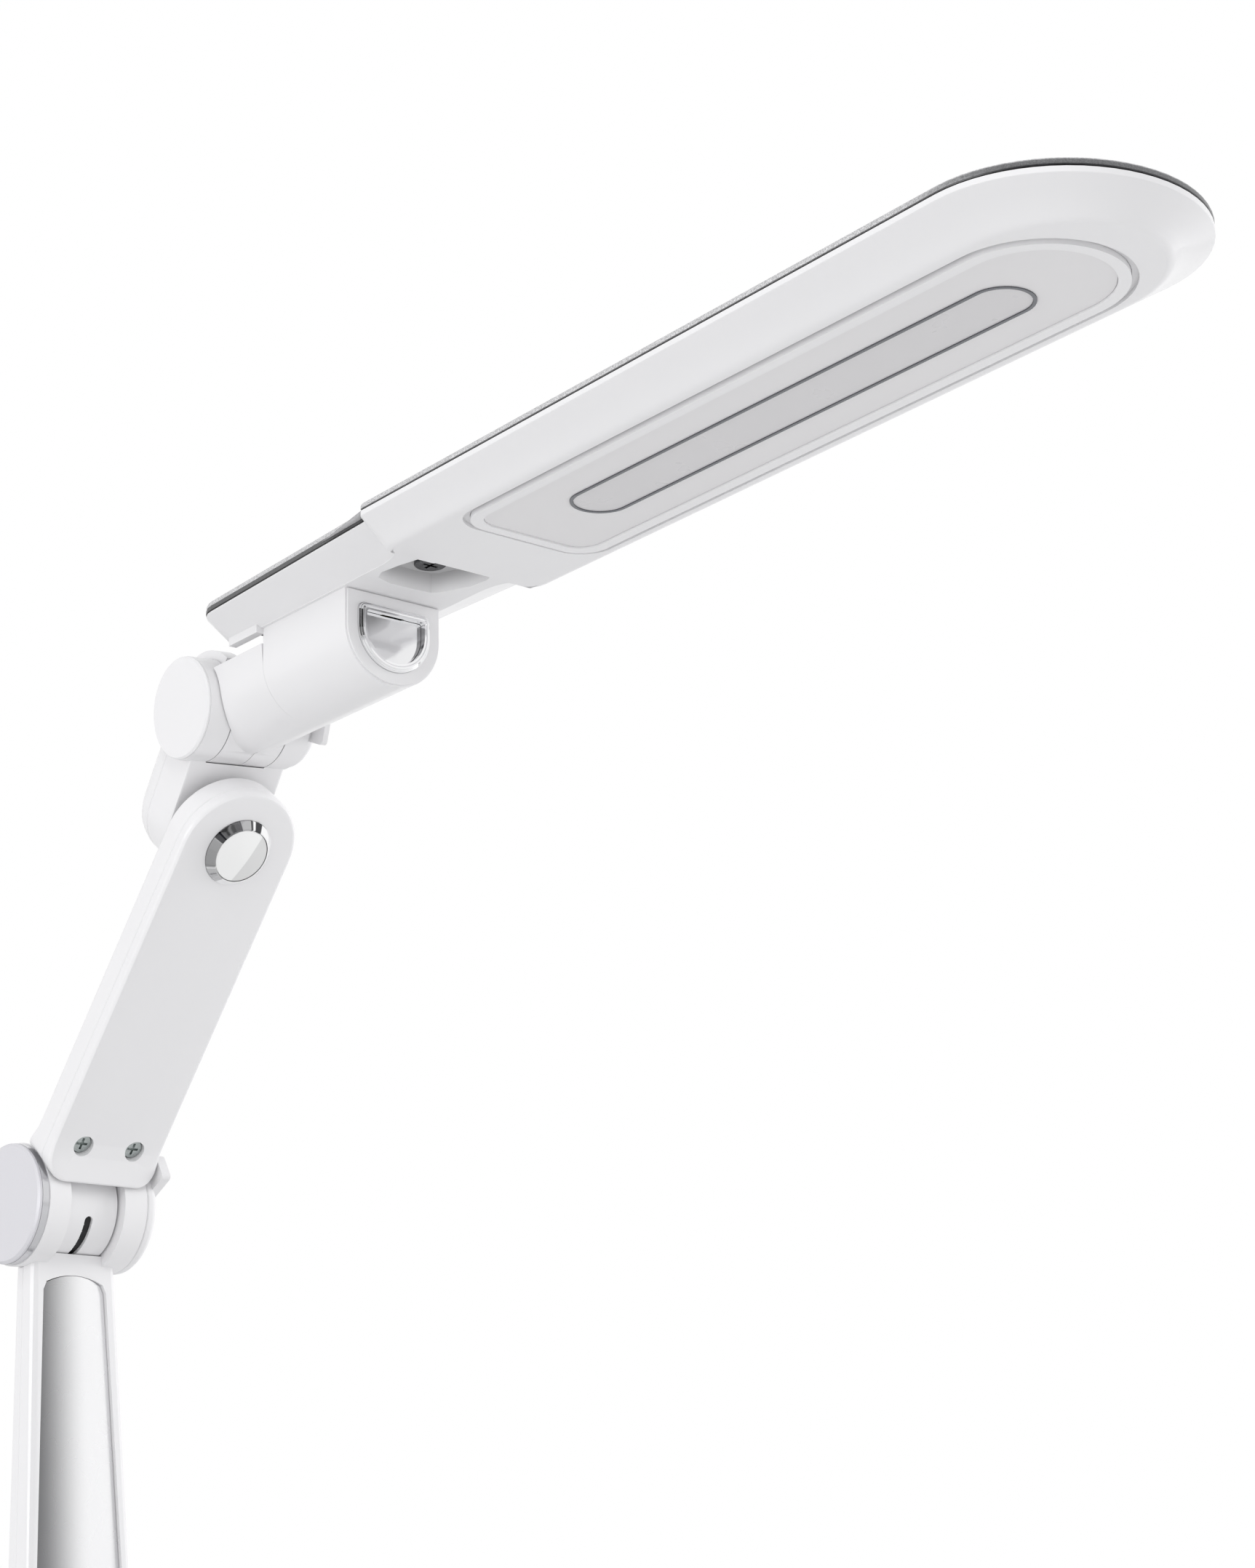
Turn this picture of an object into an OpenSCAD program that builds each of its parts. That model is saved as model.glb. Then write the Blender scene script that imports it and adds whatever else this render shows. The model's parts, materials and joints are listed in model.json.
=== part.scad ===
// Folding desk lamp: weighted base, two-stage arm, swivelling link, tilting and rolling LED head.
// Millimetres. Origin on the table under the base hinge, +Z up, the lamp faces -Y.

/* [Pose] */
// Forward tilt of the upper arm from the vertical
upper_tilt = 42.8; // [0:0.1:60]
// Sideways swing of the link on the upper arm
link_swing = 5.1; // [-20:0.1:20]
// Rise of the head above the square of the link
head_pitch = 41.3; // [20:0.1:60]
// Roll of the head about its barrel
head_roll = 5.4; // [-12:0.1:12]

/* [Base] */
// Width of the base
base_w = 166; // [150:1:200]
// Reach of the base in front of the hinge
base_front = 160; // [145:1:200]
// Reach of the base behind the hinge
base_back = 44; // [40:1:60]
// Radius of the front corners of the base
base_front_r = 62; // [40:1:70]
// Radius of the rear corners of the base
base_back_r = 38; // [25:1:40]
// Height of the flat top of the base
base_h = 25; // [24:0.5:27]
// Wall of the base housing
base_wall = 2.6; // [2:0.1:4]
// Height of the rubber feet
foot_h = 2; // [1.5:0.1:4]
// Radius of the rubber feet
foot_r = 8; // [5:0.5:10]
// Thickness of the bottom plate
plate_t = 2; // [1.5:0.1:3]
// Thickness of the ballast
ballast_t = 8; // [6:0.5:8]
// Radius of the power button
button_r = 8; // [6:0.5:10]
// Travel of the power button
button_travel = 0.8; // [0.5:0.1:0.8]
// Outer radius of the power inlet
inlet_r = 4; // [3.5:0.1:4.2]

/* [Base hinge] */
// Height of the base hinge above the table
hinge_z = 36; // [36:0.5:44]
// Radius of the ears of the base hinge
hinge_ear_r = 14; // [13:0.5:15]
// Outer half-width over the ears of the base hinge
hinge_half = 24; // [22:0.5:28]
// Radius of the hub at the foot of the lower arm
hub_r = 12; // [10:0.5:12]
// Half-width of that hub
hub_half = 12; // [10:0.5:14]
// Radius of the hinge axles
axle_r = 4; // [3:0.1:5]

/* [Lower arm] */
// Distance between the base hinge and the elbow
lower_len = 256; // [220:1:300]
// Half-width of the lower arm at its top
lower_top_half = 15.1; // [14:0.1:16]
// Half-width of the lower arm at its foot
lower_foot_half = 23.3; // [20:0.1:26]
// Depth in front of the axles at the top of the lower arm
lower_front_top = 5.2; // [5:0.1:6]
// Depth in front of the axles at its foot
lower_front_foot = 7.2; // [6:0.1:8]
// Depth behind the axles at the top
lower_back_top = 4.9; // [4.5:0.1:6]
// Depth behind the axles at the foot
lower_back_foot = 7.8; // [6:0.1:9]
// Half-width of the silver insert at its top
insert_top_half = 11.4; // [10:0.1:12]
// Half-width of the silver insert at its foot
insert_foot_half = 20.4; // [16:0.1:21]
// Depth of the pocket that holds the insert
insert_depth = 3.2; // [2.5:0.1:3.4]
// Crown of the insert
insert_crown = 1.5; // [0.5:0.1:2]

/* [Elbow] */
// Radius of the ears on the lower arm
elbow_ear_r = 19.4; // [18:0.1:21]
// Half-gap between those ears
elbow_gap_half = 10.05; // [9:0.05:11]
// Outer face of the left ear
elbow_left = 17.8; // [16:0.1:19]
// Outer face of the right ear
elbow_right = 18.4; // [16:0.1:20]
// Radius of the drum on the upper arm
drum_r = 15.9; // [14:0.1:16]
// Radius of the elbow cap
elbow_cap_r = 19; // [17:0.1:20]
// Outer radius of the elbow knob
elbow_knob_r = 19.4; // [17:0.1:20]

/* [Upper arm] */
// Distance from the elbow to the swivel
upper_len = 134.6; // [110:0.1:180]
// Half-width of the upper arm and radius of its round end
upper_half = 20.2; // [19:0.1:23]
// Depth of its front face from the axle plane
upper_front = 8.8; // [8:0.1:10]
// Depth of the seam between its shells
upper_seam = 4.7; // [4:0.1:5.5]
// Depth of its back face behind the axle plane
upper_back = 3.5; // [3:0.1:4.5]
// Distance of its two screws from the elbow
screw_along = 28; // [26:0.1:40]
// Half-distance between its two screws
screw_half = 9.5; // [7:0.1:12]
// Outer radius of the swivel ring
ring_r = 11.2; // [9:0.1:14]
// Radius of the cap inside the swivel ring
dome_r = 8.8; // [7:0.1:9]
// Radius of the swivel pin
pin_r = 3.5; // [2.5:0.1:4]

/* [Link] */
// Half-width of the link
link_half = 17; // [16.5:0.1:19]
// Depth of its front face behind the axle plane
link_front_n = 6.6; // [6:0.1:8]
// Depth of the seam between its shells
link_seam_n = 20; // [19.5:0.1:21]
// Depth of its back
link_back_n = 31; // [29:0.1:33]
// Knuckle axis above the swivel
knuckle_up = 35.5; // [33:0.1:45]
// Knuckle axis behind the axle plane of the upper arm
knuckle_back = 15.8; // [14:0.1:17]
// Radius of the knuckle
knuckle_r = 15.9; // [14:0.1:17]
// Left face of the knuckle block
block_left = 11.2; // [9:0.1:12]
// Right face of the knuckle block
block_right = 9.2; // [8:0.1:11]

/* [Barrel] */
// Height of the roll axis above the knuckle axis
barrel_w = 2; // [1:0.1:3]
// Half-width of the barrel and radius of its round underside
barrel_r = 16.6; // [15:0.1:17.5]
// Seam between the sleeve and the barrel, from the knuckle
barrel_seam = 40; // [38:0.1:44]
// Front face of the barrel, from the knuckle
barrel_face = 84; // [78:0.1:88]
// Height of the flat top of the sleeve over the knuckle axis
sleeve_top = 9.4; // [8:0.1:9.6]
// Radius of the roll shaft
roll_shaft_r = 5; // [4:0.1:6]
// Radius of the chrome frame on the barrel
trim_r = 12.5; // [11:0.1:14]

/* [Head] */
// Rear end of the tail, from the knuckle
tail_u = 21; // [21:0.1:24]
// Half-width of the rim at the tail
tail_half = 28.6; // [26:0.1:32]
// Half-width of the rim at the front of the neck
neck_half = 32.2; // [30:0.1:34]
// Half-width under the neck
neck_under_half = 17.2; // [17:0.1:20]
// Rear end of the wide paddle, from the knuckle
paddle_u = 117.4; // [112:0.1:124]
// Far end of the flat bottom, from the knuckle
bottom_tip = 381.5; // [340:0.1:420]
// Half-width of the flat bottom
bottom_half = 26.9; // [26:0.1:30]
// Reach of the rim beyond the far end of the flat bottom
rim_lead = 8.6; // [6:0.1:12]
// Half-width of the rim at the rear of the paddle
rim_rear_half = 36; // [34.5:0.1:38]
// Half-width of the rim at the front of the paddle
rim_half = 38.6; // [37:0.1:42]
// Height of the flat bottom over the knuckle axis
bottom_w = 10.75; // [10.7:0.05:11]
// Height of the neck's underside over the knuckle axis
neck_w = 12.6; // [12.6:0.05:12.8]
// Height of the lower edge of the upright lip
lip_w = 18.1; // [17.5:0.05:18.5]
// Height of the rim over the knuckle axis
rim_w = 19.7; // [19.5:0.05:20]
// Thickness of the top cover
cover_t = 2.1; // [1.5:0.1:3]
// Thickness of the gasket under the cover
gasket_t = 0.3; // [0.2:0.05:0.5]

/* [Light] */
// Outer half-width of the groove round the light
groove_half = 24.4; // [23.6:0.1:25]
// Flat bottom beyond the far end of the groove
groove_margin = 10.2; // [8:0.1:14]
// Rear end of the groove
groove_u = 145; // [140:0.1:150]
// Width of the groove
groove_gap = 1.8; // [1.5:0.1:2.4]
// Width of the raised ring round the diffuser
light_ring_w = 3.2; // [2.5:0.1:4]
// Half-width of the chrome inlay
inlay_half = 8.5; // [6:0.1:10]
// Rear end of the inlay
inlay_u = 173.3; // [165:0.1:185]
// Light beyond the far end of the inlay
inlay_margin = 27.2; // [24:0.1:70]
// Width of the inlay's chrome line
inlay_line = 0.9; // [0.7:0.1:1.5]
// Number of LEDs in a row
led_count = 14; // [8:1:18]

/* [Hidden] */
$fn = 72;
run = 0.05;          // running clearance of a shaft, on the radius
gap = 0.3;           // air between faces that move past each other
slip = 0.1;          // air round a piece that drops into its place
steps = 6;           // facets in the quarter of a rounded corner
seam_v = 0.3;        // bevel on each shell's edge along a joint line
trim_up = 6.8;       // height of the trim's flat top over the barrel's axis
pocket_w = 18.1;     // height of the ceiling of the recess under the neck
groove_d = 1.05;     // depth of the groove round the light

elbow_z = hinge_z + lower_len;
base_top_in = base_h - base_wall;
plate_z = foot_h + plate_t;
ballast_z = plate_z + ballast_t;
board_z = 14.2;
board_t = 1.6;
button_y = -118;
switch_h = 3.5;
boss_spots = [[62, 14], [-62, 14], [60, -112], [-60, -112]];
foot_spots = [[0, 0], [54, 22], [-54, 22], [48, -128], [-48, -128]];
inlet_z = 9.2;

// Lower arm, measured down from the elbow
chin_a = -15.5;
body_end_a = -(lower_len - hinge_ear_r - 1.2);
insert_top_a = -22.2;
insert_foot_a = body_end_a + 14;
lower_seam = -0.6;

// Upper arm
lip_a = 16.3;
flare_a = 27;
flare_front = 4.2;
flare_back = 4.9;
ear_clear_r = elbow_ear_r + 0.9;
drum_clear_r = drum_r + gap;
drum_half = elbow_gap_half - 0.75;
seat_n = 5.6;

// Head
tail_r = 9;
rim_tip = bottom_tip + rim_lead;
groove_tip = bottom_tip - groove_margin;
inlay_tip = groove_tip - inlay_margin;
screw_u = paddle_u - 15;
fillet_u = paddle_u - 2.9;
cover_w = rim_w + gasket_t;
groove_w = bottom_w + 1.65;
ring_half = groove_half - groove_gap;
diffuser_half = ring_half - light_ring_w;
stack_half = ring_half - 1;
guide_w = groove_w + 0.55;
guide_t = 1.6;
board_w = 15.9;
spread_w = board_w + 1.2;
cavity_u = barrel_seam + 0.2;
washer_r = neck_w - barrel_w - 1.4;
cavity_r = norm([barrel_r, sleeve_top - barrel_w]) + 0.5;

white = "whitesmoke";
silver = "silver";
steel = "slategray";

// ---------------------------------------------------------------- frames

module at_elbow() { translate([0, 0, elbow_z]) children(); }
module at_upper() { at_elbow() rotate([upper_tilt, 0, 0]) children(); }
module at_link() { at_upper() translate([0, 0, upper_len]) rotate([0, -link_swing, 0]) children(); }
module at_knuckle() { at_link() translate([0, knuckle_back, knuckle_up]) children(); }
module at_tilt() { at_knuckle() rotate([-head_pitch, 0, 0]) children(); }
module at_roll() {
    at_tilt() translate([0, 0, barrel_w]) rotate([0, head_roll, 0]) translate([0, 0, -barrel_w])
        children();
}
// Drawn as (across, along the arm, forward)
module plate() { rotate([90, 0, 0]) children(); }
// Drawn as (across, forward from the knuckle, up)
module plan() { mirror([0, 1, 0]) children(); }
// A profile drawn as (across, up), pushed forward from u0 to u1
module forward(u0, u1) {
    translate([0, -u0, 0]) rotate([90, 0, 0]) linear_extrude(u1 - u0) children();
}
// A disc or shaft along X
module along_x(x0, x1, r) { translate([x0, 0, 0]) rotate([0, 90, 0]) cylinder(h = x1 - x0, r = r); }
// A revolved profile drawn as (radius, x)
module turned_x() { rotate([0, 90, 0]) rotate_extrude() children(); }

// ---------------------------------------------------------------- outlines and lofts

function mix(a, b, t) = a + (b - a) * t;
function arc(c, r, a0, a1, n) = [for (i = [0:n]) let (a = mix(a0, a1, i / n)) c + r * [cos(a), sin(a)]];
function lift(ring, z) = [for (p = ring) [p.x, p.y, z]];

// Closed solid through rings of equal length, lowest first, each running anticlockwise
module loft(rings) {
    n = len(rings[0]);
    m = len(rings);
    sides = [for (j = [0:m - 2], i = [0:n - 1]) let (k = (i + 1) % n)
        each [[j * n + i, (j + 1) * n + i, (j + 1) * n + k], [j * n + i, (j + 1) * n + k, j * n + k]]];
    low = [[for (i = [0:n - 1]) i]];
    high = [[for (i = [n - 1:-1:0]) (m - 1) * n + i]];
    polyhedron([for (r = rings) each r], concat(low, sides, high), convexity = 8);
}

// Rounded slab with its own radius at the front and rear corners
function base_ring(inset) = let (h = base_w / 2, f = base_front_r, b = base_back_r) concat(
    arc([h - f, -base_front + f], f - inset, -90, 0, 12),
    arc([h - b, base_back - b], b - inset, 0, 90, 8),
    arc([-h + b, base_back - b], b - inset, 90, 180, 8),
    arc([-h + f, -base_front + f], f - inset, 180, 270, 12));

// Upper arm: round at the far end, rounded corners at the elbow, drawn across and along
function upper_ring(inset) = let (r = max(7, inset + 0.1), w = upper_half) concat(
    arc([w - r, lip_a + r], r - inset, -90, 0, steps),
    [[w - inset, max(flare_a, lip_a + r + 0.3)], [w - inset, flare_a + 4]],
    arc([0, upper_len], w - inset, 0, 180, 28),
    [[-w + inset, flare_a + 4], [-w + inset, max(flare_a, lip_a + r + 0.3)]],
    arc([-w + r, lip_a + r], r - inset, 180, 270, steps));
function upper_flare(a, depth) = depth * pow(max(0, flare_a + 1 - a) / (flare_a + 1 - lip_a), 1.5);
function upper_skin(inset, n, depth) =
    [for (p = upper_ring(inset)) [p.x, p.y, n + upper_flare(p.y, depth)]];

// Lower arm: straight sides that widen towards the foot
function lower_share(a) = (chin_a - a) / (chin_a - body_end_a);
function lower_half(a) = mix(lower_top_half, lower_foot_half, lower_share(a));
function lower_ring(inset) = let (r = 5, w1 = lower_half(body_end_a), w0 = lower_half(-8)) concat(
    arc([w1 - r, body_end_a + r], r - inset, -90, 0, steps),
    [[w0 - inset, -8 - inset], [-w0 + inset, -8 - inset]],
    arc([-w1 + r, body_end_a + r], r - inset, 180, 270, steps));
function lower_skin(inset, top, foot) =
    [for (p = lower_ring(inset)) [p.x, p.y, mix(top, foot, lower_share(p.y))]];

// Silver insert: crowned across, curved at its top
function insert_half(a) = mix(insert_top_half, insert_foot_half, (insert_top_a - a) / (insert_top_a - insert_foot_a));
function insert_ring(inset) =
    let (r = 3, w1 = insert_half(insert_foot_a), bow = 24, side = asin((insert_top_half - 1) / bow)) concat(
    arc([w1 - r, insert_foot_a + r], r - inset, -90, 0, steps),
    [[insert_half(insert_top_a - 5) - inset, insert_top_a - 5]],
    arc([0, insert_top_a - bow], bow - inset, 90 - side, 90 + side, 8),
    [[-insert_half(insert_top_a - 5) + inset, insert_top_a - 5]],
    arc([-w1 + r, insert_foot_a + r], r - inset, 180, 270, steps));
function insert_skin(s, drop) = [for (p = insert_ring(0.15)) let (t = p.x * s / insert_half(p.y))
    [p.x * s, p.y, mix(lower_front_top, lower_front_foot, lower_share(p.y)) - drop
        + (s < 1 ? insert_crown * (1 - t * t) : 0)]];

// Link: round at the swivel, open towards the knuckle
function link_ring(inset, top) = let (w = link_half - inset) concat(
    [[w, 0], [w, top], [-w, top], [-w, 0]],
    arc([0, 0], w, 188, 352, 22));

// Head, seen from above: tail, neck, step and paddle in one outline at height w
function flank(w) = let (f = min(1, (w - bottom_w) / (lip_w - bottom_w))) f - 0.07 * sin(180 * f);
function rise(w) = min(1, max(0, (w - neck_w) / (lip_w - neck_w)));
function tip_arc(half, tip, semi) =
    [for (i = [0:32]) let (t = i * 180 / 32) [half * cos(t), tip - semi + semi * sin(t)]];
function paddle_sides(w, inset) = let (g = flank(w)) tip_arc(
    mix(bottom_half, rim_half, g) - inset, mix(bottom_tip, rim_tip, g) - inset,
    mix(bottom_half + 3.1, rim_half - 2.7, g) - inset);
function mirrored(ring) = [for (i = [len(ring) - 1:-1:0]) [-ring[i].x, ring[i].y]];
function head_half_ring(w, inset) = let (
    h = rise(w), g = flank(w), r = mix(4, tail_r, h),
    t = mix(neck_under_half, tail_half, h) - inset,
    n = mix(neck_under_half, neck_half, h) - inset,
    e = mix(bottom_half, rim_rear_half, g) - inset,
    u1 = mix(paddle_u - 16, fillet_u, h), u2 = mix(paddle_u - 2.4, paddle_u + 1.1, h) + inset,
    c = mix(6.3, 1.5, h)) concat(
    arc([t - r, tail_u + inset + r], r, -90, 0, steps),
    [for (i = [0:steps]) let (a = 90 * i / steps)
        [mix(n, e - c, 1 - cos(a)), mix(u1, u2, sin(a))]],
    arc([e - c, u2 + c], c, -72, 0, 4));
function head_ring(w, inset) = let (half = head_half_ring(w, inset))
    concat(half, paddle_sides(w, inset), mirrored(half));

// Opening for the light: square at the rear with round corners, half a circle at the tip
function light_ring_points(half, u0, tip, r) = concat(
    arc([half - r, u0 + r], r, -90, 0, 8), arc([0, tip - half], half, 0, 180, 32),
    arc([-half + r, u0 + r], r, 180, 270, 8));
module light_shape(inset) {
    r = 10 - inset * 0.6;
    half = groove_half - inset;
    translate([0, groove_tip - groove_half]) circle(half);
    translate([-half, groove_u + inset + r]) square([2 * half, groove_tip - groove_half - groove_u - inset - r]);
    translate([-half + r, groove_u + inset]) square([2 * (half - r), r + 1]);
    for (s = [-1, 1]) translate([s * (half - r), groove_u + inset + r]) circle(r);
}
module inlay_shape(inset) {
    r = inlay_half - inset;
    for (u = [inlay_u + inlay_half, inlay_tip - inlay_half]) translate([0, u]) circle(r);
    translate([-r, inlay_u + inlay_half]) square([2 * r, inlay_tip - inlay_u - 2 * inlay_half]);
}

// ---------------------------------------------------------------- base

module base_shell_outer() {
    loft([for (p = [[1.8, foot_h], [0.5, foot_h + 0.9], [0, foot_h + 2.4], [0, 13], [1, 17], [3.4, 20.6],
        [8, base_h - 1.8], [16, base_h - 0.4], [24, base_h]]) lift(base_ring(p[0]), p[1])]);
}
module base_shell_inner() {
    loft([for (p = [[base_wall + 0.6, foot_h - 1], [base_wall + 0.6, 13], [base_wall + 4, 18.6],
        [base_wall + 11, base_top_in - 0.5], [24, base_top_in]]) lift(base_ring(p[0]), p[1])]);
}
// Where each hinge ear's tenon passes through the top, in from the ear's own edges
module ear_socket(x) {
    wide = hinge_half - hub_half - 1;
    translate([x - slip, -hinge_ear_r - slip, base_h - 0.6])
        cube([wide + 2 * slip, 2 * hinge_ear_r + 7 + 2 * slip, 2]);
    translate([x + 2 - slip, 3 - slip, base_top_in - 2]) cube([wide - 4 + 2 * slip, 14 + 2 * slip, 6]);
}
module at_hinge() { translate([0, 0, hinge_z]) children(); }

module base_housing() {
    color(white) difference() {
        union() {
            difference() {
                base_shell_outer();
                base_shell_inner();
            }
            for (p = boss_spots) translate([p.x, p.y, plate_z]) cylinder(h = base_top_in - plate_z + 0.5, r = 4);
            for (x = [-24, 24]) translate([x, button_y + 14, board_z + board_t])
                cylinder(h = base_top_in - board_z - board_t + 0.5, r = 2.5);
        }
        for (x = [hub_half + 1, -hinge_half]) ear_socket(x);
        at_hinge() along_x(-hub_half - 1, hub_half + 1, hub_r + 0.6);
        for (p = boss_spots) translate([p.x, p.y, 0]) cylinder(h = 16, r = 1.5);
        translate([0, button_y, base_h - 6]) cylinder(h = 8, r = button_r + 0.2);
        translate([0, base_back + 1, inlet_z]) rotate([90, 0, 0]) cylinder(h = 6, r = inlet_r + slip);
    }
}

module base_hinge_ears() {
    wide = hinge_half - hub_half - 1;
    foot = hinge_ear_r + 7;
    color(white) for (x = [hub_half + 1, -hinge_half]) difference() {
        union() {
            translate([x, 0, 0]) rotate([90, 0, 90]) linear_extrude(wide) difference() {
                union() {
                    translate([0, hinge_z]) circle(hinge_ear_r);
                    polygon([[-hinge_ear_r, base_h - 2], [foot, base_h - 2], [foot, base_h - 0.6],
                        [hinge_ear_r * cos(16), hinge_z + hinge_ear_r * sin(16)],
                        [-hinge_ear_r * cos(16), hinge_z + hinge_ear_r * sin(16)],
                        [-hinge_ear_r, hinge_z]]);
                }
                translate([-30, 0]) square([60, base_h - 0.6]);
            }
            translate([x + 2, 3, plate_z]) cube([wide - 4, 14, base_h - plate_z]);
        }
        at_hinge() along_x(-hinge_half - 1, hinge_half + 1, axle_r + run);
        for (s = [-1, 1]) at_hinge() translate([s * hinge_half, 0, 0]) along_x(-1.2, 1.2, 8.6);
    }
}

module base_bottom_plate() {
    color("dimgray") difference() {
        translate([0, 0, foot_h]) linear_extrude(plate_t) polygon(base_ring(base_wall + 0.9));
        for (p = boss_spots) translate([p.x, p.y, 0]) {
            cylinder(h = foot_h + 1.2, r = 3.1);
            cylinder(h = plate_z + 1, r = 1.6);
        }
    }
}

module base_ballast() {
    across = base_w - 82;
    along = base_front - 48;
    color(steel) translate([0, -(base_front - 20) / 2, plate_z]) linear_extrude(ballast_t) {
        square([across + 24, along], center = true);
        square([across, along + 24], center = true);
        for (x = [-across / 2, across / 2], y = [-along / 2, along / 2]) translate([x, y]) circle(12);
    }
}

module base_feet() {
    color("black") for (p = foot_spots) translate([p.x, p.y, 0]) {
        cylinder(h = 0.6, r1 = foot_r - 0.6, r2 = foot_r);
        translate([0, 0, 0.6]) cylinder(h = foot_h - 0.6, r = foot_r);
    }
}

module base_screws() {
    color(steel) for (p = boss_spots) translate([p.x, p.y, foot_h]) difference() {
        union() {
            cylinder(h = 1.2, r = 3);
            cylinder(h = 11, r = 1.4);
        }
        cube([3.4, 0.8, 1.2], center = true);
        cube([0.8, 3.4, 1.2], center = true);
    }
}

module base_control_board() {
    color("darkgreen") translate([-32, button_y - 16, board_z]) cube([64, 36, board_t]);
}

module base_switch() {
    color("dimgray") translate([0, button_y, board_z + board_t]) {
        translate([-3, -3, 0]) cube([6, 6, switch_h]);
        cylinder(h = switch_h + 0.4, r = 1.7);
    }
}

module power_button() {
    stem_z = board_z + board_t + switch_h + 0.4 + button_travel + slip;
    color("gainsboro") translate([0, button_y, 0]) {
        translate([0, 0, stem_z]) cylinder(h = base_h - stem_z, r = 2.5);
        translate([0, 0, base_top_in - gap - 1.2]) cylinder(h = 1.2, r = button_r + 1.6);
        rotate_extrude() polygon(concat([[0, base_top_in - gap - 0.1], [button_r, base_top_in - gap - 0.1]],
            [for (i = [0:steps]) let (a = 90 * i / steps)
                [button_r - 1 + cos(a), base_h + 0.2 + sin(a)]], [[0, base_h + 1.2]]));
    }
}

module power_inlet() {
    color("black") translate([0, base_back, inlet_z]) rotate([90, 0, 0]) {
        difference() {
            union() {
                cylinder(h = 12, r = inlet_r);
                translate([-5.5, -5, base_wall + 0.7]) cube([11, 8.7, 9.5]);
            }
            translate([0, 0, -1]) cylinder(h = 10.5, r = inlet_r - 1.1);
        }
        cylinder(h = 12, r = 1.05);
    }
}

module base_hinge_axle() { color(steel) at_hinge() along_x(-hinge_half + 1.2, hinge_half - 1.2, axle_r); }

module base_hinge_caps() {
    color(silver) for (s = [0, 180]) rotate([0, 0, s]) at_hinge() translate([hinge_half - 1.2, 0, 0])
        turned_x() polygon([[0, 0], [8.5, 0], [8.5, 1.6], [7.9, 2.2], [0, 2.5]]);
}

module base_hinge_washers() {
    color("dimgray") for (s = [0, 180]) rotate([0, 0, s]) at_hinge() difference() {
        along_x(hub_half, hub_half + 0.9, hub_r - 1.5);
        along_x(hub_half - 1, hub_half + 2, axle_r + run);
    }
}

// ---------------------------------------------------------------- lower arm

lower_screw_spots = [for (s = [-1, 1], a = [-46, -lower_len / 2 - 2, 42 - lower_len]) [s * 11.5, a]];

module lower_arm_front() {
    color(white) at_elbow() difference() {
        union() {
            plate() loft(concat([lower_skin(seam_v, lower_seam, lower_seam),
                lower_skin(0, lower_seam + seam_v, lower_seam + seam_v)],
                [for (p = [[0, 1.7], [0.55, 0.5], [1.7, 0]])
                    lower_skin(p[0], lower_front_top - p[1], lower_front_foot - p[1])]));
            along_x(-elbow_left, -elbow_gap_half, elbow_ear_r);
            along_x(elbow_gap_half, elbow_right, elbow_ear_r);
            translate([0, 0, -lower_len]) {
                along_x(-hub_half, hub_half, hub_r);
                translate([-hub_half, -5.5, 0]) cube([2 * hub_half, 11, hinge_ear_r + 0.9]);
                translate([-hub_half, -5.5, 0]) cube([2 * hub_half, 5.5 - lower_seam, hinge_ear_r + 6]);
            }
        }
        along_x(-elbow_gap_half, elbow_gap_half, drum_clear_r + 0.1);
        along_x(-elbow_left - 1, elbow_right + 1, axle_r + run);
        translate([0, 0, -lower_len]) along_x(-hub_half - 1, hub_half + 1, axle_r + run);
        plate() intersection() {
            loft([lift(insert_ring(0), 0), lift(insert_ring(0), 12)]);
            loft([lower_skin(-3, lower_front_top - insert_depth, lower_front_foot - insert_depth),
                lower_skin(-3, 14, 14)]);
        }
        plate() for (p = lower_screw_spots) translate([p.x, p.y, lower_seam - 1]) cylinder(h = 3, r = 1.5);
    }
}

module lower_arm_rear() {
    color(white) at_elbow() difference() {
        plate() loft([lower_skin(1.7, -lower_back_top, -lower_back_foot),
            lower_skin(0.55, 0.5 - lower_back_top, 0.5 - lower_back_foot),
            lower_skin(0, 1.7 - lower_back_top, 1.7 - lower_back_foot),
            lower_skin(0, lower_seam - seam_v, lower_seam - seam_v), lower_skin(seam_v, lower_seam, lower_seam)]);
        along_x(-elbow_gap_half + 0.1, elbow_gap_half - 0.1, drum_clear_r + 0.1);
        for (x = [-30, elbow_gap_half - slip]) along_x(x, x + 30 - elbow_gap_half + slip, elbow_ear_r + slip);
        plate() translate([-8.1, insert_foot_a - 1, lower_seam - 2.1]) cube([16.2, insert_top_a - insert_foot_a - 14.6, 3]);
        plate() for (p = lower_screw_spots) translate([p.x, p.y, -12]) {
            cylinder(h = 13, r = 1.6);
            cylinder(h = 7.8, r = 3.2);
        }
    }
}

module lower_arm_stiffener() {
    color(steel) at_elbow() plate() translate([-8, insert_foot_a - 0.9, lower_seam - 2]) cube([16, insert_top_a - insert_foot_a - 14.8, 2]);
}

module lower_arm_insert() {
    color(silver) at_elbow() plate() loft([insert_skin(1, insert_depth), insert_skin(1, 1.5),
        insert_skin(0.96, 1.5), insert_skin(0.8, 1.5), insert_skin(0.6, 1.5), insert_skin(0.35, 1.5),
        insert_skin(0.12, 1.5)]);
}

module lower_arm_screws() {
    color(steel) at_elbow() plate() for (p = lower_screw_spots) translate([p.x, p.y, -4.2]) {
        translate([0, 0, -1.6]) cylinder(h = 1.6, r = 2.9);
        cylinder(h = 5, r = 1.4);
    }
}

module elbow_axle() {
    color(steel) at_elbow() {
        along_x(-elbow_left, elbow_right + 4.5, axle_r);
        translate([-elbow_left - 1.6, 0, 0]) rotate([0, 90, 0]) cylinder(h = 1.6, r = 7, $fn = 6);
    }
}

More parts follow.
